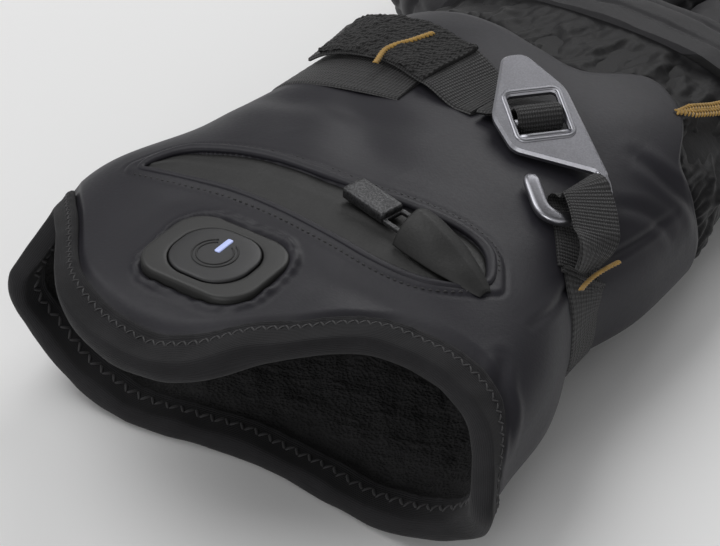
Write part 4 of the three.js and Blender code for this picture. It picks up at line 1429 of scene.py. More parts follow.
    def slider(self) -> Piece:
        """Builds the slider's body and the bridge that holds the pull."""
        top = self.hinge_height - 1.25
        width = 0.9 * self.pull_width
        body = nest([
            (10.4, width - 0.6, 1.6, self.clearance), (11.0, width, 1.9, 0.55), (11.0, width, 1.9, top - 0.3),
            (10.5, width - 0.5, 1.7, top), (4.0, 2.0, 0.8, top),
        ])
        body.points[:, 0] -= 1.0
        bridge = through([
            (-2.6, 0, top - 0.4), (-2.6, 0, 3.2), (-2.2, 0, 4.0), (-1.2, 0, 4.15), (1.2, 0, 4.15),
            (2.2, 0, 4.0), (2.6, 0, 3.2), (2.6, 0, top - 0.4),
        ], 5)
        arch = sweep(bridge, np.array([0.0, 1.0, 0.0]), 1.8, 0.9)
        mesh = self.stand.mesh(Mesh.joined([body, arch]))
        return mesh.piece("zip_slider_body", self.finishes.gunmetal, "dark_metal", replaces=["zip_slider"])

    def pull(self) -> Piece:
        """Builds the pull: an open eye and a square grip with eased edges."""
        half = (self.pull_width - self.eye_side) / 2
        middle = self.eye_length / 2 - 0.1
        frame_line = rounded_rect(self.eye_length - 0.4, 2 * half, 1.0, 5) + [middle, 0]
        frame_line = np.column_stack([frame_line, np.full(len(frame_line), self.hinge_height)])
        _, along = frames_along(frame_line, True)
        out = np.cross(along, [0, 0, 1])
        eye = sweep(frame_line, out, self.eye_side + 0.1, self.eye_thickness, Ends.RING, 5.0, 16)
        low = self.hinge_height - 0.5 * self.grip_thickness + 0.6
        high = low + self.grip_thickness
        length, width = self.grip_length, self.pull_width
        grip = nest([
            (length - 0.8, width - 0.8, 0.8, low), (length, width, 1.1, low + 0.4),
            (length, width, 1.1, high - 0.75), (length - 0.2, width - 0.2, 1.0, high - 0.45),
            (length - 0.55, width - 0.55, 0.9, high - 0.14), (length - 1.3, width - 1.3, 0.7, high),
            (length - 3.4, width - 3.4, 0.5, high - 0.12), (6.0, 1.6, 0.3, high - 0.14),
        ], 6)
        grip.points[:, 0] += self.eye_length - 0.4 + length / 2
        mesh = self.stand.mesh(Mesh.joined([eye, grip]))
        return mesh.piece("zip_pull_tab", self.finishes.gunmetal, "dark_metal", Body.PULL, ["zip_pull"])

    def garage(self) -> Piece:
        """Builds the hood of laminated cloth over the slider."""
        at, halves, highs = zip(*self.garage_rows)
        half_at, high_at = Smooth(at, halves), Smooth(at, highs)
        places = np.linspace(0, 1, 46)[:, None]
        share = np.linspace(0, 1, 41)[None, :]
        lean = math.pi * share

        def skin(inset: float) -> Array:
            """Returns the hood's points, inset from its outer face."""
            half = half_at(places) * self.garage_width - inset
            high = np.maximum(high_at(places) * self.garage_height - inset, 0.3)
            across = half * np.cos(lean) - self.garage_peak * high * np.sin(lean)
            run = self.garage_mouth - places * self.garage_length + 0 * share
            run_way, side_way = self.stand.axes[0], self.stand.axes[1]
            plan = np.stack([
                self.hinge[0] + run * run_way[0] + across * side_way[0],
                self.hinge[1] + run * run_way[1] + across * side_way[1],
            ], axis=-1)
            points = FORM.on_roof(plan, -self.recess)
            ridge = 0.28 * bump_at(share, 0.5, 0.045) * (1 - 0.7 * places) if inset == 0 else 0
            sharp = np.sin(lean) ** 1.15
            points[..., 2] += self.garage_foot + high * sharp + ridge
            return points

        outer, inner = skin(0.0), skin(self.garage_wall)
        outer = outer + 0.16 * Ripple(13.0, seed=5)(outer)[..., None] * np.array([0, 0, 1])
        mesh = loft(np.concatenate([outer, inner[:, ::-1]], axis=1), Ends.STRIPS)
        return mesh.piece("zip_hood", self.finishes.laminate, "zip_tape", replaces=["zip_garage"])


@dataclass
class KeyPad:
    """The moulded key plate with its membrane key and lit standby mark."""

    finishes: Finishes
    length: float = 36.5
    depth: float = 30.0
    corner: float = 9.5
    rise: float = 3.4
    key_length: float = 24.0
    key_depth: float = 22.0
    key_corner: float = 9.5
    key_sink: float = 0.7
    clearance: float = 0.35
    ring_diameter: float = 13.0
    ring_width: float = 1.8
    ring_opening: float = 56.0

    def __post_init__(self) -> None:
        """Places the plate on the shell."""
        x, y = FORM.plate_x, FORM.plate_y
        self.place = np.array([x, y, float(FORM.roof(x, y)) + self.rise])
        self.stand = Stand(self.place, np.eye(3))

    def distance(self, plan: Array) -> Array:
        """Returns how far plan points are outside the plate's outline; inside it is negative."""
        away = np.abs(plan - self.place[:2]) - np.array([self.length, self.depth]) / 2 + self.corner
        outside = np.linalg.norm(np.maximum(away, 0), axis=-1)
        return outside + np.minimum(away.max(axis=-1), 0) - self.corner

    def plate(self) -> Piece:
        """Builds the plate with eased edges and the key's groove."""
        groove = self.clearance
        key = (self.key_length, self.key_depth, self.key_corner)

        def rim(inset: float, height: float) -> Rim:
            """Returns a loop inset from the plate's outline."""
            return (self.length - 2 * inset, self.depth - 2 * inset, self.corner - inset, height)

        def pocket(grow: float, height: float) -> Rim:
            """Returns a loop that is grown from the key's outline."""
            return (key[0] + 2 * grow, key[1] + 2 * grow, key[2] + grow, height)

        rows = [
            rim(0.6, -6.0), rim(0, -5.4), rim(-0.05, -2.4), rim(0, -1.1), rim(0.12, -0.6), rim(0.4, -0.25),
            rim(0.8, -0.06), rim(1.4, 0), pocket(1.6, -0.02), pocket(groove + 0.5, -0.04),
            pocket(groove + 0.15, -0.18), pocket(groove, -0.5), pocket(groove, -self.key_sink - 0.3),
            pocket(-3, -self.key_sink - 0.3),
        ]
        mesh = self.stand.mesh(nest(rows, 10))
        return mesh.piece("key_plate_moulding", self.finishes.plate, "plate_rubber", replaces=["key_plate"])

    def key(self) -> Piece:
        """Builds the domed membrane key."""
        rows = []
        for inset, height in (
            (0, -self.key_sink), (0, 0.0), (0.12, 0.22), (0.4, 0.4), (0.9, 0.5), (3.0, 0.62), (6.0, 0.66),
        ):
            length, depth = self.key_length - 2 * inset, self.key_depth - 2 * inset
            rows.append((length, depth, self.key_corner - inset, height))
        mesh = self.stand.mesh(nest(rows, 10))
        return mesh.piece("key_membrane", self.finishes.key, "key_rubber", replaces=["key"])

    def ring(self) -> Piece:
        """Builds the mark's open double ring."""
        half = self.ring_opening / 2
        arcs = []
        for radius in (self.ring_diameter / 2 - 0.3, self.ring_diameter / 2 - self.ring_width + 0.3):
            turn = np.radians(np.linspace(90 + half, 450 - half, 60))
            line = np.stack([radius * np.cos(turn), radius * np.sin(turn), np.full(60, 0.72)], axis=1)
            out = np.stack([np.cos(turn), np.sin(turn), 0 * turn], axis=1)
            arcs.append(self.stand.mesh(sweep(line, out, 0.55, 0.35, power=2.0, count=10)))
        mesh = Mesh.joined(arcs)
        return mesh.piece("mark_ring", self.finishes.groove, "mark_plastic", replaces=["key_ring"])

    def light(self) -> Piece:
        """Builds the mark's lit bar."""
        length = 0.5 * self.ring_diameter
        rows = [
            (self.ring_width, length, 0.55, 0.45), (self.ring_width, length, 0.55, 0.85),
            (self.ring_width - 0.3, length - 0.3, 0.45, 0.98), (0.6, length - 1.4, 0.25, 1.02),
        ]
        bar = nest(rows, 5)
        bar.points[:, 1] += 0.3 * self.ring_diameter
        mesh = self.stand.mesh(bar)
        return mesh.piece("mark_bar", self.finishes.lamp, "lit_plastic", replaces=["key_light"])


@dataclass(frozen=True)
class Crease:
    """A fold pressed into the cloth.

    Attributes:
        route: the fold's line, as angles round the glove and distances along it.
        width: the groove's half width.
        depth: how deep the groove is; below 0 it is a ridge.
        side: how much cloth swells beside the groove, as a share of the depth.
    """

    route: Pairs
    width: float
    depth: float
    side: float = 0.5

    def __call__(self, points: Array) -> Array:
        """Returns how far the fold moves each point outwards."""
        line = np.array(through(self.route, 8))
        line = FORM.point(line[:, 0], line[:, 1])
        distance, share = polyline_distance(points, line)
        fade = np.sin(np.pi * np.clip(share, 0.02, 0.98)) ** 0.6
        groove = np.exp(-((distance / self.width) ** 2))
        swell = np.exp(-(((distance - 2.2 * self.width) / (1.1 * self.width)) ** 2))
        return self.depth * fade * (self.side * swell - groove)


@dataclass
class Cuff:
    """The softshell cuff, its fleece lining and the knitted binding round its mouth."""

    finishes: Finishes
    zip: Zip
    pad: KeyPad
    shell_wall: float = 1.3
    lining_wall: float = 1.8
    binding_width: float = 11.0
    binding_thickness: float = 0.9
    gap: float = 0.35
    zip_swell: Triple = (0.55, 2.4, 2.2)
    zip_groove: Triple = (0.45, 4.3, 0.7)
    zip_sink: float = 2.4
    plate_swell: Triple = (1.3, 1.2, 1.5)
    plate_sink: float = 0.6
    edge_turn: float = 0.5
    shell_start: float = 2.0
    lining_start: float = 2.2
    lining_short: float = 14.0
    creases: tuple[Crease, ...] = (
        Crease(((36, 24), (30, 17), (22, 14), (8, 8)), 1.6, 0.9),
        Crease(((33, 40), (26, 60), (25, 90), (24, 118)), 1.1, 0.7, 0.3),
        Crease(((47, 120), (35, 122), (22, 126), (6, 127)), 2.2, 1.0),
        Crease(((40, 100), (30, 108), (12, 114)), 2.0, 0.6),
        Crease(((118, 96), (105, 84), (92, 70), (80, 66)), 7.0, 1.1, 0.4),
        Crease(((140, 92), (125, 82), (112, 66)), 6.0, 0.8, 0.4),
    )

    def shell_angles(self) -> Array:
        """Returns the shell's angles, closer together on top."""
        top = np.linspace(12, 168, 300, endpoint=False)
        return np.concatenate([top, np.linspace(168, 372, 140, endpoint=False)])

    def rim_drop(self, away: Array) -> Array:
        """Returns how far the shell and lining sink towards the binding."""
        drop = self.binding_thickness + 2.2 * self.gap
        return -drop * (1 - ease(away - self.binding_width, -0.6, 4.5))

    def relief(self, points: Array, angle: Array, away: Array, end: Array) -> Array:
        """Works out the shell's low relief.

        Args:
            points: the form's points.
            angle: their angles round the glove.
            away: how far they are from the mouth's edge.
            end: how far they are from the far edge.

        Returns:
            How far outside the form each point of the shell lies.
        """
        on_top = np.sin(np.radians(angle)) > 0.2
        plan = points[..., :2]
        zip_out = np.where(on_top, self.zip.distance(plan), 50.0)
        pad_out = np.where(on_top, self.pad.distance(plan), 50.0)
        grow = self.rim_drop(away)
        grow = grow + hump(zip_out, self.zip_swell) * (zip_out > -0.5)
        grow = grow - hump(zip_out, self.zip_groove)
        grow = grow - self.zip_sink * ease(-zip_out, -0.2, 1.0)
        lump = 1 + 0.3 * Ripple(5.0, seed=9)(points)
        grow = grow + hump(pad_out, self.plate_swell) * lump * (pad_out > -0.6)
        grow = grow - self.plate_sink * ease(-pad_out, 0.0, 1.0)
        grow = grow - self.edge_turn * ease(-end, -2.2, 0.0)
        for crease in self.creases:
            grow = grow + crease(points)
        soft = Ripple(70.0, seed=21)(points) * 0.35 + Ripple(26.0, seed=22)(points) * 0.1
        return grow + soft * ease(zip_out, 3, 12) * ease(pad_out, 3, 12)

    def surface(self, plan: Array) -> Array:
        """Returns points of the shell's outer face over plan points."""
        angle = FORM.angle_at(plan[..., 0], plan[..., 1])
        y = plan[..., 1]
        points = FORM.point(angle, y)
        grow = self.relief(points, angle, y - FORM.mouth(angle), FORM.far(angle) - y)
        return FORM.point(angle, y, grow)

    def shell(self) -> Piece:
        """Builds the softshell with its folds, hems and the zip's hollow."""
        angle = self.shell_angles()[:, None]
        mouth, far = FORM.mouth(angle), FORM.far(angle)
        start = self.shell_start
        outer_share = np.linspace(0, 1, 190)[None, :]
        y = mouth + start + outer_share * (far - mouth - start)
        points = FORM.point(angle, y)
        grow = self.relief(points, angle + 0 * y, y - mouth, far - y)
        outer = FORM.point(angle, y, grow)
        rolled = FORM.point(angle, far + 0.45, grow[:, -1:] - 0.5 * self.shell_wall)
        inner_share = np.linspace(1, 0, 14)[None, :]
        inner_y = mouth + start + inner_share * (far - mouth - start)
        inner = FORM.point(angle, inner_y, self.rim_drop(inner_y - mouth) - self.shell_wall - 0.2)
        loops = np.concatenate([outer, rolled, inner], axis=1)
        mesh = loft(loops, Ends.RING)
        return mesh.piece("cuff_softshell", self.finishes.softshell, "softshell", replaces=["cuff_shell"])

    def lining(self) -> Piece:
        """Builds the brushed fleece inside the cuff."""
        angle = around(320)
        mouth, far = FORM.mouth(angle), FORM.far(angle) - self.lining_short
        share = np.linspace(0, 1, 120)[None, :]
        start = mouth + self.lining_start
        y = start + share * (far - start)
        face = self.rim_drop(y - mouth) - self.shell_wall - self.gap
        points = FORM.point(angle, y)
        pile = 0.28 * Ripple(9.0, 16, 31)(points) + 0.22 * Ripple(3.6, 16, 32)(points)
        quilt = 0.7 * Ripple(46.0, 8, 33)(points)
        inner = FORM.point(angle, y, face - self.lining_wall + (pile - quilt) * ease(share, 0.04, 0.15))
        coarse = np.linspace(1, 0, 12)[None, :]
        outer_y = start + coarse * (far - start)
        outer_face = self.rim_drop(outer_y - mouth) - self.shell_wall - self.gap
        loops = np.concatenate([inner, FORM.point(angle, outer_y, outer_face)], axis=1)
        mesh = loft(loops, Ends.RING)
        return mesh.piece("cuff_fleece", self.finishes.fleece, "fleece", replaces=["cuff_lining"])

    def rim_depth(self) -> float:
        """Returns the binding's depth from its outer to its inner leg."""
        drop = self.binding_thickness + 2.2 * self.gap
        return 2 * drop + self.shell_wall + self.lining_wall + self.gap

    def rim_lumps(self, points: Array) -> Array:
        """Returns how uneven the binding is at points of the form."""
        return 0.12 * Ripple(9.0, 14, 41)(points) + 0.3 * Ripple(24.0, 8, 42)(points)

    def binding(self) -> Piece:
        """Builds the knitted binding folded over the rim."""
        angle = around(460)
        depth, width, thick = self.rim_depth(), self.binding_width, self.binding_thickness
        legs = np.linspace(width, 1.6, 16)
        lean = np.radians(np.linspace(90, 270, 13))
        fold_from = 1.6 + 2.1 * np.cos(lean)
        fold_grow = -depth / 2 + depth / 2 * np.sin(lean)
        back = np.linspace(1.6, width, 16)
        outer_from = np.concatenate([legs, fold_from[1:-1], back])
        outer_grow = np.concatenate([np.zeros(16), fold_grow[1:-1], np.full(16, -depth)])
        inner_from = np.array([width, 0.5 * width, 2.2, 2.2, 0.5 * width, width])
        inner_grow = np.array([thick - depth, thick - depth, thick - depth, -thick, -thick, -thick])
        edge = np.minimum(np.arange(len(outer_from)), np.arange(len(outer_from))[::-1])
        rounded = np.where(edge == 0, -0.45, np.where(edge == 1, -0.1, 0.0))
        sign = np.where(outer_grow > -depth / 2, 1, -1)
        mouth = FORM.mouth(angle)
        place = FORM.point(angle, mouth + outer_from[None, :])
        lumps = self.rim_lumps(place)
        seam = 0.35 * bump_at(outer_from, width - 1.2, 0.8) * (1 + 0.6 * Ripple(3.0, 12, 43)(place))
        move = sign * (rounded + lumps + seam)
        outer = FORM.point(angle, mouth + outer_from[None, :], outer_grow[None, :] + move)
        outer[..., 2] = np.maximum(outer[..., 2], 0.1)
        inner = FORM.point(angle, mouth + inner_from[None, :], inner_grow[None, :] + 0 * mouth)
        mesh = loft(np.concatenate([outer, inner], axis=1), Ends.RING)
        knit = self.finishes.knit
        return mesh.piece("cuff_knit_binding", knit, "knitted_binding", replaces=["cuff_binding"])

    def zigzag(
        self, name: str, at: float, grow: float, pitch: float, wide: float, radius: float
    ) -> Piece:
        """Builds a zigzag row of stitches round the rim.

        Args:
            name: the piece's name.
            at: the row's distance from the mouth's edge.
            grow: the row's height over the form.
            pitch: the length of a zig and a zag together.
            wide: the row's width.
            radius: the thread's half width.
        """
        outward = 1.0 if grow > -1 else -1.0
        angle = np.linspace(0, 360, 1200)
        line = FORM.point(angle, FORM.mouth(angle) + at, grow)
        lengths, _ = frames_along(line)
        places = np.arange(0, lengths[-1], pitch / 2)
        zig = np.where(np.arange(len(places)) % 2 == 0, -0.5, 0.5) * wide
        turns = np.interp(places, lengths, angle)
        y = FORM.mouth(turns) + at + zig
        height = grow + outward * self.rim_lumps(FORM.point(turns, y))
        points = FORM.point(turns, y, height)
        points[:, 2] = np.maximum(points[:, 2], 0.3)
        centres, ways = (points[1:] + points[:-1]) / 2, np.diff(points, axis=0)
        ups = (FORM.point(turns, y, height + outward) - points)[1:]
        length = float(np.linalg.norm(ways, axis=1).mean()) * 1.1
        mesh = strokes(centres, ways, ups, length, radius)
        return mesh.piece(name, self.finishes.grey_thread, "knitted_binding")


GOLD_ROUTE = ((48, 147.5, 0.3), (43.5, 157, 0.4), (39, 167, 0.4), (34, 184, 0.5), (31, 205, 0.4))
LOOP_TACK = ((24.2, 67, 3.9), (24.0, 77, 3.9), (23.4, 86, 3.7))
BAND_TACK = ((109, 127.5, 5.5), (112, 121.5, 5.5), (114, 118.5, 5.6), (115.5, 114.5, 5.6), (114, 107, 5.5))


@dataclass
class Straps:
    """The wrist webbing in its three lengths, and the hook buckle."""

    finishes: Finishes
    thickness: float = 1.3
    gap: float = 0.5
    wrap_start: float = 104.0
    wrap_end: float = 384.0
    loop_fold: float = 50.0
    loop_end: float = 27.0
    loop_taut: float = 37.0
    loop_opening: float = 5.6
    loop_shift: float = 3.7
    roll_radius: float = 3.4
    roll_shift: float = 1.3
    rim_out: float = 1.0
    plate_bevel: float = 0.75
    band_angles: Pair = (144.0, 83.9)
    patch_angles: Pair = (138.0, 99.0)
    buckle_length: float = 64.0
    buckle_width: float = 26.7
    buckle_thickness: float = 2.6
    buckle_corner: float = 2.7
    window: Pair = (17.0, 14.5)
    window_middle: Pair = (0.056 * 64.0, -0.131 * 26.7)
    crossbar: Pair = (0.072 * 64.0, -0.77 * 2.6)
    crossbar_radius: float = 1.3
    buckle_place: Pair = (0.1125 * 160.0, 0.779 * 145.0)
    buckle_lift: float = 7.1
    band_rows: Triples = (
        (81, 0.765, 1.0), (90, 0.783, 1.25), (99, 0.808, 1.3), (117, 0.85, 1.3), (148, 0.862, 1.25),
    )
    outline_rows: Pairs = (
        (-0.322, -0.292), (-0.327, -0.037), (-0.094, 0.27), (0.453, 0.371), (0.5, 0.28), (0.43, 0.262),
        (0.241, -0.539), (0.031, -0.629),
    )
    hook_rows: Triples = (
        (0.422, 0.296, -0.5), (0.5, 0.307, -0.69), (0.578, 0.262, -0.85), (0.637, 0.105, -0.8),
        (0.669, -0.097, -0.3), (0.675, -0.315, 0.1), (0.628, -0.457, 0.35), (0.523, -0.479, 0.4),
        (0.412, -0.472, 0.35),
    )

    def __post_init__(self) -> None:
        """Works out the buckle's own frame."""
        normal = np.array([0.2, -0.15, 1.0])
        normal /= np.linalg.norm(normal)
        along = np.array([0.75, -0.66, 0.0])
        along -= (along @ normal) * normal
        along /= np.linalg.norm(along)
        x, y = self.buckle_place
        origin = np.array([x, y, float(FORM.roof(x, y)) + self.buckle_lift])
        self.stand = Stand(origin, np.array([along, np.cross(normal, along), normal]))

    def ribbon(self, line: Array, sides: Array, width: Number, folds: float = 0.0) -> Mesh:
        """Makes a length of webbing with thick selvedges.

        Args:
            line: the middle points.
            sides: the direction of the width at each point.
            width: the webbing's width, or one for each point.
            folds: how uneven it is.

        Returns:
            The mesh.
        """
        side, up = section_ways(line, sides)
        share = np.linspace(-0.5, 0.5, 33)
        body = 0.5 * np.clip(1 - np.abs(2 * share) ** 16, 0, 1) ** 0.5
        rib = 0.05 * np.cos(2 * math.pi * share * 13) + 0.1 * bump_at(np.abs(share), 0.46, 0.03)
        across = np.concatenate([share, share[::-1]])
        height = np.concatenate([body + rib, -body[::-1]]) * self.thickness
        wide = np.broadcast_to(np.asarray(width, float), (len(line),))[:, None, None]
        loops = line[:, None] + side[:, None] * across[None, :, None] * wide
        loops = loops + up[:, None] * height[None, :, None]
        if folds:
            loops = loops + up[:, None] * (folds * Ripple(14.0, seed=51)(loops))[..., None]
        return loft(loops, Ends.STRIPS)

    def wrap(self) -> Piece:
        """Builds the long length that runs under the wrist."""
        angle = np.arange(self.wrap_start, self.wrap_end + 0.1, 1.0)
        y = FORM.strap(angle)
        line = FORM.point(angle, y, self.gap + self.thickness / 2)
        mesh = self.ribbon(line, -crossways(angle, y), FORM.strap_wide(angle) * FORM.strap_width)
        return mesh.piece("strap_under_wrist", self.finishes.webbing, "webbing", replaces=["strap_wrap"])

    def band_line(self, angle: Array) -> tuple[Array, Array, Array]:
        """Returns the upper band's place along the glove, width and height over the form.

        Args:
            angle: the angles round the glove.

        Returns:
            The three, at each angle.
        """
        at, out, wide = zip(*self.band_rows)
        y = Smooth(at, out)(angle) * FORM.cuff_length
        rise = self.gap + (self.thickness + 1.6 * self.gap) * ease(angle, 88, 100)
        return y, Smooth(at, wide)(angle) * FORM.strap_width, rise

    def band(self) -> Piece:
        """Builds the upper band with its turn round the crossbar."""
        angle = np.arange(*self.band_angles, -0.5)
        y, wide, rise = self.band_line(angle)
        line = FORM.point(angle, y, rise + self.thickness / 2)
        upper = self.ribbon(line, crossways(angle, y), wide, 0.1)
        bar_along, bar_up = self.crossbar
        radius = self.roll_radius
        bar_along -= self.roll_shift
        turns = np.radians(np.linspace(150, -160, 26))
        roll = [(bar_along + radius * math.cos(t), bar_up + radius * math.sin(t)) for t in turns]
        start = self.stand.axes @ (line[-1] - self.stand.origin)
        middle = self.window_middle[1]
        lead = np.array([
            (start[0], start[1], start[2]),
            ((start[0] + bar_along) / 2 - 2.5, (start[1] + middle) / 2, (start[2] + bar_up) / 2 - 0.9),
            (bar_along - radius - 1.6, middle, bar_up - 0.6),
            *[(a, middle, u) for a, u in roll],
        ])
        path = self.stand(through(lead, 4))
        narrow = self.window[1] - 1.2
        width = np.interp(np.linspace(0, 1, len(path)), [0, 0.12, 1], [wide[-1], narrow, narrow])
        turn = self.ribbon(path, -self.stand.axes[1], width)
        mesh = Mesh.joined([upper, turn])
        mesh.uv = np.concatenate([upper.uv, turn.uv])
        return mesh.piece("strap_upper_band", self.finishes.webbing, "webbing", replaces=["strap_band"])

    def patch(self) -> Piece:
        """Builds the folded end that is sewn down on the upper band."""
        angle = np.arange(*self.patch_angles, -0.35)
        y, wide, rise = self.band_line(angle)
        line = FORM.point(angle, y, rise + 1.3 * self.thickness)
        mesh = self.ribbon(line, crossways(angle, y), wide * 0.97, 0.3)
        knots = 0.26 * Ripple(2.6, 20, 52)(mesh.points) + 0.2 * Ripple(6.0, 14, 53)(mesh.points)
        mesh.points = mesh.points + knots[:, None] * np.array([0.0, 0.0, 1.0])
        return mesh.piece("strap_sewn_end", self.finishes.elastic, "webbing")

    def loop_line(self, angle: Array, rise: Array) -> Array:
        """Returns the loop's middle points at angles and heights over the form."""
        return FORM.point(angle, FORM.strap(angle) - self.loop_shift, rise)

    def loop(self) -> Piece:
        """Builds the loop that the hook passes through."""
        low = self.gap + self.thickness / 2
        under = np.linspace(self.loop_end, self.loop_fold - 2, 40)
        over = np.linspace(self.loop_fold - 2, self.loop_end - 1.5, 50)
        share = np.clip((over - self.loop_end) / (self.loop_taut - self.loop_end), 0, 1)
        rise = self.gap + 1.3 * self.thickness + self.loop_opening * np.sin(0.5 * math.pi * share)
        fold = np.linspace(-90, 90, 14)[1:-1]
        middle, half = (rise[0] + low) / 2, (rise[0] - low) / 2
        fold_angle = self.loop_fold - 2 + 2.4 * np.cos(np.radians(fold))
        fold_rise = middle + half * np.sin(np.radians(fold))
        angle = np.concatenate([under, fold_angle, over])
        heights = np.concatenate([np.full(40, low), fold_rise, rise])
        line = self.loop_line(angle, heights)
        mesh = self.ribbon(line, crossways(angle, FORM.strap(angle)), FORM.strap_width - 2, 0.08)
        return mesh.piece("strap_hook_loop", self.finishes.webbing, "webbing", replaces=["strap_loop"])

    def bartack(self, name: str, route: Sequence[Triple], wide: float) -> Piece:
        """Builds a dense row of gold stitches.

        Args:
            name: the piece's name.
            route: the row's line as angle, distance along the glove and height over the form.
            wide: the row's width.
        """
        line = through(route, 12)
        line = FORM.point(line[:, 0], line[:, 1], line[:, 2])
        centres, along = spaced(line, 0.62)
        ups = np.tile([0.3, -0.2, 1.0], (len(centres), 1))
        side = np.cross(along, ups)
        side /= np.linalg.norm(side, axis=1, keepdims=True)
        slant = np.where(np.arange(len(centres)) % 2 == 0, 0.9, 0.35)[:, None]
        mesh = strokes(centres, side + slant * along, ups, wide, 0.36)
        return mesh.piece(name, self.finishes.gold, "webbing")

    def buckle(self) -> Piece:
        """Builds the plate with its window, raised rim, crossbar and hook."""
        size = np.array([self.buckle_length, self.buckle_width])
        outer = round_corners(np.array(self.outline_rows) * size, self.buckle_corner, 6)
        hole = rounded_rect(self.window[0], self.window[1], 1.5, 5) + np.array(self.window_middle)
        plate = plate_mesh(outer, hole, self.buckle_thickness, self.plate_bevel)
        grown = 2 * self.rim_out
        rim_line = rounded_rect(self.window[0] + grown, self.window[1] + grown, 2.3, 5)
        rim_line = np.column_stack([rim_line + np.array(self.window_middle), np.zeros(len(rim_line))])
        _, along = frames_along(rim_line, True)
        rim = sweep(rim_line, np.cross(along, [0, 0, 1]), 1.5, 0.8, Ends.RING, 2.2, 12)
        bar = np.array([[self.crossbar[0], self.window_middle[1] + t, self.crossbar[1]]
                        for t in np.linspace(-8.5, 8.5, 6)])
        bar_size = 2 * self.crossbar_radius
        crossbar = sweep(bar, np.array([1.0, 0, 0]), bar_size, bar_size, power=2.0)
        hook = through(np.array(self.hook_rows) * np.array([*size, self.buckle_thickness]), 7)
        _, along = frames_along(hook)
        share = np.linspace(0, 1, len(hook))
        tip = np.sqrt(np.clip(1 - np.clip((share - 0.94) / 0.06, 0, 1) ** 2, 0.05, 1))
        wide = (3.0 + 1.5 * ease(share, 0.45, 0.75)) * tip
        thick = 2.6 * tip
        finger = sweep(hook, np.cross(along, [0, 0, 1]), wide, thick, power=5.0, count=18)
        end = self.window_middle[0] + self.window[0] / 2 - 1.0
        wall = np.array([[end, self.window_middle[1] + t, -0.9] for t in np.linspace(-7.4, 7.4, 6)])
        wall = sweep(wall, np.array([1.0, 0, 0]), 2.0, 1.6, power=2.4)
        mesh = self.stand.mesh(Mesh.joined([plate, rim, crossbar, finger, wall]))
        made = mesh.piece("buckle_plate", self.finishes.bright, "bright_metal", replaces=["buckle_hook"])
        faces = made.data.polygons
        faces.foreach_set("use_smooth", [index >= len(plate.faces) for index in range(len(faces))])
        return made


def round_corners(points: Array, corner: float, steps: int) -> Array:
    """Returns a closed outline whose corners are rounded with quadratic curves.

    Args:
        points: the outline's corners.
        corner: how far from a corner its curve starts.
        steps: each curve's steps.

    Returns:
        The rounded outline's points.
    """
    rounded = []
    for before, point, after in zip(np.roll(points, 1, axis=0), points, np.roll(points, -1, axis=0)):
        back, ahead = before - point, after - point
        cut = min(corner, 0.4 * np.linalg.norm(back), 0.4 * np.linalg.norm(ahead))
        start = point + back / np.linalg.norm(back) * cut
        end = point + ahead / np.linalg.norm(ahead) * cut
        for step in range(steps + 1):
            t = step / steps
            rounded.append((1 - t) ** 2 * start + 2 * t * (1 - t) * point + t * t * end)
    return np.array(rounded)


def plate_mesh(outer: Array, hole: Array, thickness: float, bevel: float) -> Mesh:
    """Makes a flat plate with a window and eased edges, its upper face at height 0.

    Args:
        outer: the plate's outline.
        hole: the window's outline.
        thickness: the plate's thickness.
        bevel: the edges' radius.

    Returns:
        The mesh.
    """
    curve = bpy.data.curves.new("plate_outline", "CURVE")
    curve.dimensions = "2D"
    curve.fill_mode = "BOTH"
    curve.extrude = thickness / 2 - bevel
    curve.bevel_depth = bevel
    curve.bevel_resolution = 0
    curve.offset = -bevel
    for outline in (outer, hole):
        spline = curve.splines.new("POLY")
        spline.points.add(len(outline) - 1)
        for point, (x, y) in zip(spline.points, outline):
            point.co = (x, y, 0, 1)
        spline.use_cyclic_u = True
    holder = bpy.data.objects.new("plate_outline", curve)
    data = bpy.data.meshes.new_from_object(holder)
    edit = bmesh.new()
    edit.from_mesh(data)
    bmesh.ops.remove_doubles(edit, verts=edit.verts, dist=0.001)
    points = np.array([vert.co[:] for vert in edit.verts]) - [0, 0, thickness / 2]
    faces = [[vert.index for vert in face.verts] for face in edit.faces]
    edit.free()
    bpy.data.objects.remove(holder)
    bpy.data.curves.remove(curve)
    bpy.data.meshes.remove(data)
    return Mesh(points, faces)


@dataclass(frozen=True)
class Stall:
    """A finger's row.

    Attributes:
        name: the finger.
        x: the root's offset, a share of the hand's width.
        lean: its turn to the little finger's side, in degrees.
        length: its length.
        width: its width.
    """

    name: str
    x: float
    lean: float
    length: float
    width: float


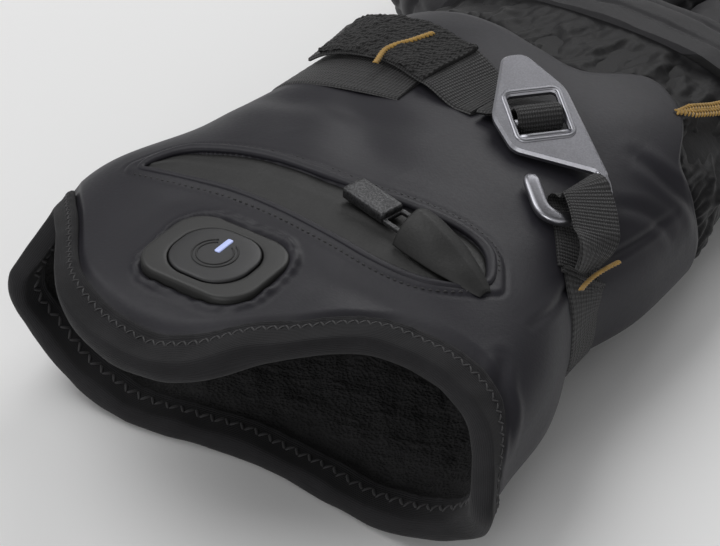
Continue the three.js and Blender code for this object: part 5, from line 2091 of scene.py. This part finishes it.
@dataclass
class Hand:
    """The padded hand, its fingers and thumb, and the gathered wrist."""

    finishes: Finishes
    wall: float = 3.6
    gather_wall: float = 1.8
    gap: float = 0.35
    shell_wall: float = 1.3
    tuck: float = 5.0
    crumple_end: float = 0.5
    big_fold: float = 1.7
    small_fold: float = 1.0
    pleat_count: int = 26
    pleat_depth: float = 0.5
    drawn_count: int = 61
    drawn_depth: float = 0.9
    drawn_reach: float = 8.0
    edge_shadow: Triple = (2.0, 0.8, 2.0)
    channels: Pair = (12.0, 27.0)
    channel_depth: float = 1.2
    palm_channel_depth: float = 0.4
    knuckle_run: float = 8.0
    knuckle_drop: float = 5.5
    finger_root: float = 12.0
    finger_height: float = 29.0
    finger_sink: float = 0.58
    fingers: tuple[Stall, ...] = (
        Stall("index", -0.43, -4, 76, 27.6),
        Stall("middle", -0.19, -1, 86, 27.6),
        Stall("ring", 0.05, 1.5, 78, 27.0),
        Stall("little", 0.28, 5, 58, 25.0),
    )
    thumb_row: Stall = Stall("thumb", -0.47, -50, 66, 31.0)
    thumb_out: float = 0.6

    def __post_init__(self) -> None:
        """Works out where the hand starts and ends."""
        self.start = FORM.cuff_length + self.crumple_end * FORM.hand_length
        self.knuckles = FORM.cuff_length + FORM.hand_length
        self.seam = SEAM_LEVEL * FORM.hand_height

    def gather(self) -> Piece:
        """Builds the thin crumpled cloth that elastic pulls in at the wrist."""
        angle = around(480)
        far = FORM.far(angle)
        share = np.linspace(0, 1, 110)[None, :]
        y = far - self.tuck + share * (self.start + self.tuck - far + 1.5)
        points = FORM.point(angle, y)
        out = ease(y - far, -1.0, 2.5)
        swell = np.sin(np.pi * np.clip((y - far) / (self.start - far), 0, 1)) ** 0.7
        stretched = points * np.array([1.0, 0.5, 1.0])
        big = Ripple(15.0, 9, 61, True)(stretched)
        small = Ripple(6.5, 12, 62, True)(stretched)
        pleat = np.sin(np.radians(self.pleat_count * angle) + 3.0 * Ripple(40.0, 6, 63)(points))
        drawn = np.sin(np.radians(self.drawn_count * angle) + 3.5 * Ripple(22.0, 8, 64)(points))
        drawn = drawn * np.exp(-np.clip(y - far, 0, 99) / self.drawn_reach)
        grow = -(self.shell_wall + 2 * self.gap) * (1 - 0.5 * swell)
        grow = grow + out * swell * (self.big_fold * big + self.small_fold * small + self.pleat_depth * pleat)
        grow = grow + out * self.drawn_depth * drawn - hump(y - far, self.edge_shadow)
        outer = FORM.point(angle, y, grow)
        coarse = np.linspace(1, 0, 8)[None, :]
        inner_y = far - self.tuck + coarse * (self.start + self.tuck - far + 1.5)
        inner = FORM.point(angle, inner_y, -(self.shell_wall + 2 * self.gap) - self.gather_wall)
        mesh = loft(np.concatenate([outer, inner], axis=1), Ends.RING)
        return mesh.piece("wrist_crumple", self.finishes.crumple, "gather_cloth", replaces=["wrist_gather"])

    def body_loops(self, upper_half: bool) -> Array:
        """Returns the loops of the hand's back, or of its palm.

        Args:
            upper_half: whether it is the back.

        Returns:
            The loops, from the wrist to the knuckles.
        """
        eased = np.sin(np.linspace(0, 90, 16)[1:] * np.pi / 180)
        run = np.concatenate([np.linspace(0, 0.86, 56), 1 - 0.14 * (1 - eased)])
        y = (self.start + self.gap + run * (self.knuckles - self.start - self.gap))[:, None]
        edges = np.arange(-60, 240, 0.5)[None, :]
        level = FORM.point(edges, y)[..., 2]
        upper = level > self.seam
        first = edges[0][np.argmax(upper, axis=1)][:, None]
        last = edges[0][upper.shape[1] - 1 - np.argmax(upper[:, ::-1], axis=1)][:, None]
        share = np.linspace(0, 1, 90)[None, :]
        if upper_half:
            angle = first + share * (last - first)
        else:
            angle = last + share * (360 + first - last)
        over = np.clip((y - (self.knuckles - self.knuckle_run)) / self.knuckle_run, 0, 1)
        drop = self.knuckle_drop * (1 - np.sqrt(np.clip(1 - over**2, 0, 1)))
        points = FORM.point(angle, y)
        seam_edge = 1.5 * (bump_at(share, 0, 0.035) + bump_at(share, 1, 0.035))
        channel = sum(bump_at(y, self.start + place, 1.7) for place in self.channels)
        puff = Ripple(34.0, 10, 71)(points) * 0.7 + Ripple(11.0, 10, 72)(points) * 0.18
        depth = self.channel_depth if upper_half else self.palm_channel_depth
        grow = puff - seam_edge - depth * channel - drop
        outer = FORM.point(angle, y, grow)
        inner = FORM.point(angle[:, ::-3], y, -self.wall - drop)
        return np.concatenate([outer, inner], axis=1)

    def back(self) -> Piece:
        """Builds the back of the hand."""
        mesh = loft(self.body_loops(True), Ends.STRIPS)
        made = mesh.piece("hand_padded_back", self.finishes.hand_cloth, "hand_cloth", replaces=["hand_back"])
        return made

    def palm(self) -> Piece:
        """Builds the palm."""
        mesh = loft(self.body_loops(False), Ends.STRIPS)
        made = mesh.piece("hand_leather_palm", self.finishes.leather, "palm_leather", replaces=["hand_palm"])
        return made

    def stall(self, row: Stall, root: Pair, length: float, level: float, seed: int) -> Mesh:
        """Makes a padded finger.

        Args:
            row: the finger's sizes.
            root: where its line starts, in plan.
            length: its length from there.
            level: the height of its middle at the root.
            seed: the seed of its unevenness.

        Returns:
            The mesh.
        """
        tip = 0.55 * row.width
        run = np.concatenate([
            np.linspace(-6, length - tip, 70, endpoint=False),
            length - tip + tip * np.sin(np.linspace(0, 88, 22) * np.pi / 180),
        ])[:, None]
        over = np.clip((run - length + tip) / tip, 0, 1)
        round_off = np.sqrt(np.clip(1 - over**2, 0.0004, 1))
        share = np.clip(run / length, 0, 1)
        middle = level * (1 - self.finger_sink * share**2)
        turn = np.linspace(0, 2 * math.pi, 72, endpoint=False)[None, :]
        cos, sin = np.cos(turn), np.sin(turn)
        reach = (np.abs(cos) ** 2.3 + np.abs(sin) ** 2.3) ** (-1 / 2.3)
        joints = sum(bump_at(share, place, 0.03) for place in (0.42, 0.7))
        side_seam = bump_at(np.abs(sin), 0.42, 0.07)
        noise_at = np.stack(np.broadcast_arrays(run + seed * 50, 14 * cos, 14 * sin), axis=-1)
        puff = 0.5 * Ripple(20.0, 10, seed)(noise_at) + 0.14 * Ripple(6.0, 10, seed + 1)(noise_at)
        swell = puff - 0.75 * side_seam - 1.0 * joints * (sin > -0.2)
        across = (row.width / 2 + swell) * round_off * cos * reach
        z = middle + (self.finger_height / 2 * (1 - 0.12 * share) + swell) * round_off * sin * reach
        lean = math.radians(row.lean)
        x = root[0] + run * math.sin(lean) + across * math.cos(lean)
        y = root[1] + run * math.cos(lean) - across * math.sin(lean)
        return loft(np.stack([x, y, np.maximum(z, FLOOR_GAP)], axis=-1), Ends.FANS)

    def digits(self) -> list[Piece]:
        """Builds the four fingers and the thumb."""
        made = []
        for index, row in enumerate(self.fingers):
            root = (row.x * FORM.hand_width, self.knuckles - self.finger_root)
            mesh = self.stall(row, root, row.length + self.finger_root, self.seam, 80 + 2 * index)
            name, node = f"padded_{row.name}", f"finger_{row.name}"
            made.append(mesh.piece(name, self.finishes.hand_cloth, "hand_cloth", replaces=[node]))
        row = self.thumb_row
        root = (row.x * FORM.hand_width, FORM.cuff_length + self.thumb_out * FORM.hand_length)
        mesh = self.stall(row, root, row.length, 0.44 * FORM.hand_height, 90)
        made.append(mesh.piece("padded_thumb", self.finishes.hand_cloth, "hand_cloth", replaces=["thumb"]))
        return made

    def gold_seam(self) -> Piece:
        """Builds the braided rows of gold stitches on the hand's side."""
        route = through(GOLD_ROUTE, 14)
        parts = []
        line = FORM.point(route[:, 0], route[:, 1], route[:, 2] + 0.5)
        centres, along = spaced(line, 1.5)
        normal = np.tile([0.55, 0.1, 0.83], (len(centres), 1))
        side = np.cross(along, normal)
        opened = np.clip(np.arange(len(centres)) / 5, 0.1, 1)[:, None]
        for offset, slant in ((-1.55, 0.8), (-0.5, -0.8), (0.5, 0.8), (1.55, -0.8)):
            lean = along + slant * side
            parts.append(strokes(centres + offset * opened * side, lean, normal, 2.5, 0.42))
        return Mesh.joined(parts).piece("gold_side_seam", self.finishes.gold, "hand_cloth")


# The studio


@dataclass(frozen=True)
class Studio:
    """The pale floor, the soft lights and the photograph's viewpoint."""

    eye: Triple = (0.3664, -0.5949, 0.48525)
    right: Triple = (0.8192, 0.5736, 0.0)
    back: Triple = (0.4640, -0.6627, 0.5878)
    lens: float = 137.5
    sensor: float = 36.0
    floor: float = 6.0
    surroundings: float = 0.27
    aim: Triple = (0, -0.05, 0.04)
    lights: tuple[tuple[str, Triple, float, float], ...] = (
        ("key", (-0.7, -0.15, 1.3), 1.1, 10.0),
        ("back", (-0.3, 1.15, 1.0), 0.9, 7.0),
        ("fill", (1.1, -0.9, 0.7), 1.0, 1.2),
        ("front", (0.12, -1.35, 0.42), 0.8, 4.5),
    )

    def camera(self) -> None:
        """Makes the camera."""
        right, back = Vector(self.right).normalized(), Vector(self.back).normalized()
        up = back.cross(right)
        data = bpy.data.cameras.new("photo_view")
        data.lens = self.lens
        data.sensor_width = self.sensor
        data.clip_end = 50.0
        made = bpy.data.objects.new("photo_view", data)
        made.matrix_world = Matrix((
            (right.x, up.x, back.x, self.eye[0]),
            (right.y, up.y, back.y, self.eye[1]),
            (right.z, up.z, back.z, self.eye[2]),
            (0, 0, 0, 1),
        ))
        bpy.context.scene.collection.objects.link(made)
        bpy.context.scene.camera = made

    def light(self, name: str, place: Sequence[float], size: float, power: float) -> None:
        """Makes a soft square light that faces the glove.

        Args:
            name: the light's name.
            place: where it stands, in metres.
            size: its side's length.
            power: its power in watts.
        """
        data = bpy.data.lights.new(name, "AREA")
        data.size = size
        data.energy = power
        made = bpy.data.objects.new(name, data)
        made.location = place
        made.rotation_euler = (Vector(self.aim) - Vector(place)).to_track_quat("-Z", "Y").to_euler()
        bpy.context.scene.collection.objects.link(made)

    def build(self) -> None:
        """Makes the floor, the lights, the surroundings and the camera."""
        board = Board("pale_floor")
        speck = board.noise(board.place(), 3.0, 2.0)
        board.set(Base_Color=board.blend(speck, (0.84, 0.84, 0.84), (0.88, 0.88, 0.88)), Roughness=0.9)
        data = bpy.data.meshes.new("floor")
        half = self.floor / 2
        corners = [(-half, -half, 0), (half, -half, 0), (half, half, 0), (-half, half, 0)]
        data.from_pydata(corners, [], [[0, 1, 2, 3]])
        floor = bpy.data.objects.new("floor", data)
        floor.data.materials.append(board.material)
        bpy.context.scene.collection.objects.link(floor)
        world = bpy.data.worlds.new("surroundings")
        world.use_nodes = True
        shader = world.node_tree.nodes["Background"]
        shader.inputs["Color"].default_value = (1, 1, 1, 1)
        shader.inputs["Strength"].default_value = self.surroundings
        bpy.context.scene.world = world
        bpy.context.scene.view_settings.view_transform = "Standard"
        for name, place, size, power in self.lights:
            self.light(name, place, size, power)
        self.camera()


def main() -> None:
    """Builds the glove, then the studio."""
    logging.basicConfig(level=logging.INFO, format="%(name)s %(message)s")
    finishes = Finishes()
    zipper = Zip(finishes)
    pad = KeyPad(finishes)
    cuff = Cuff(finishes, zipper, pad)
    straps = Straps(finishes)
    hand = Hand(finishes)
    cuff.shell()
    cuff.lining()
    cuff.binding()
    cuff.zigzag("rim_cover_stitch", 7.8, 0.12, 3.0, 1.7, 0.27)
    cuff.zigzag("rim_inner_stitch", 6.4, -cuff.rim_depth() - 0.12, 4.6, 3.0, 0.5)
    zipper.tape()
    zipper.welt()
    zipper.stitches(cuff.surface)
    zipper.slider()
    zipper.pull()
    zipper.garage()
    pad.plate()
    pad.key()
    pad.ring()
    pad.light()
    straps.wrap()
    straps.band()
    straps.patch()
    straps.loop()
    straps.bartack("bartack_band", BAND_TACK, 2.0)
    straps.bartack("bartack_loop", LOOP_TACK, 1.6)
    straps.buckle()
    hand.gather()
    hand.back()
    hand.palm()
    hand.digits()
    hand.gold_seam()
    Studio().build()
    bpy.context.view_layer.update()


if __name__ == "__main__":
    main()
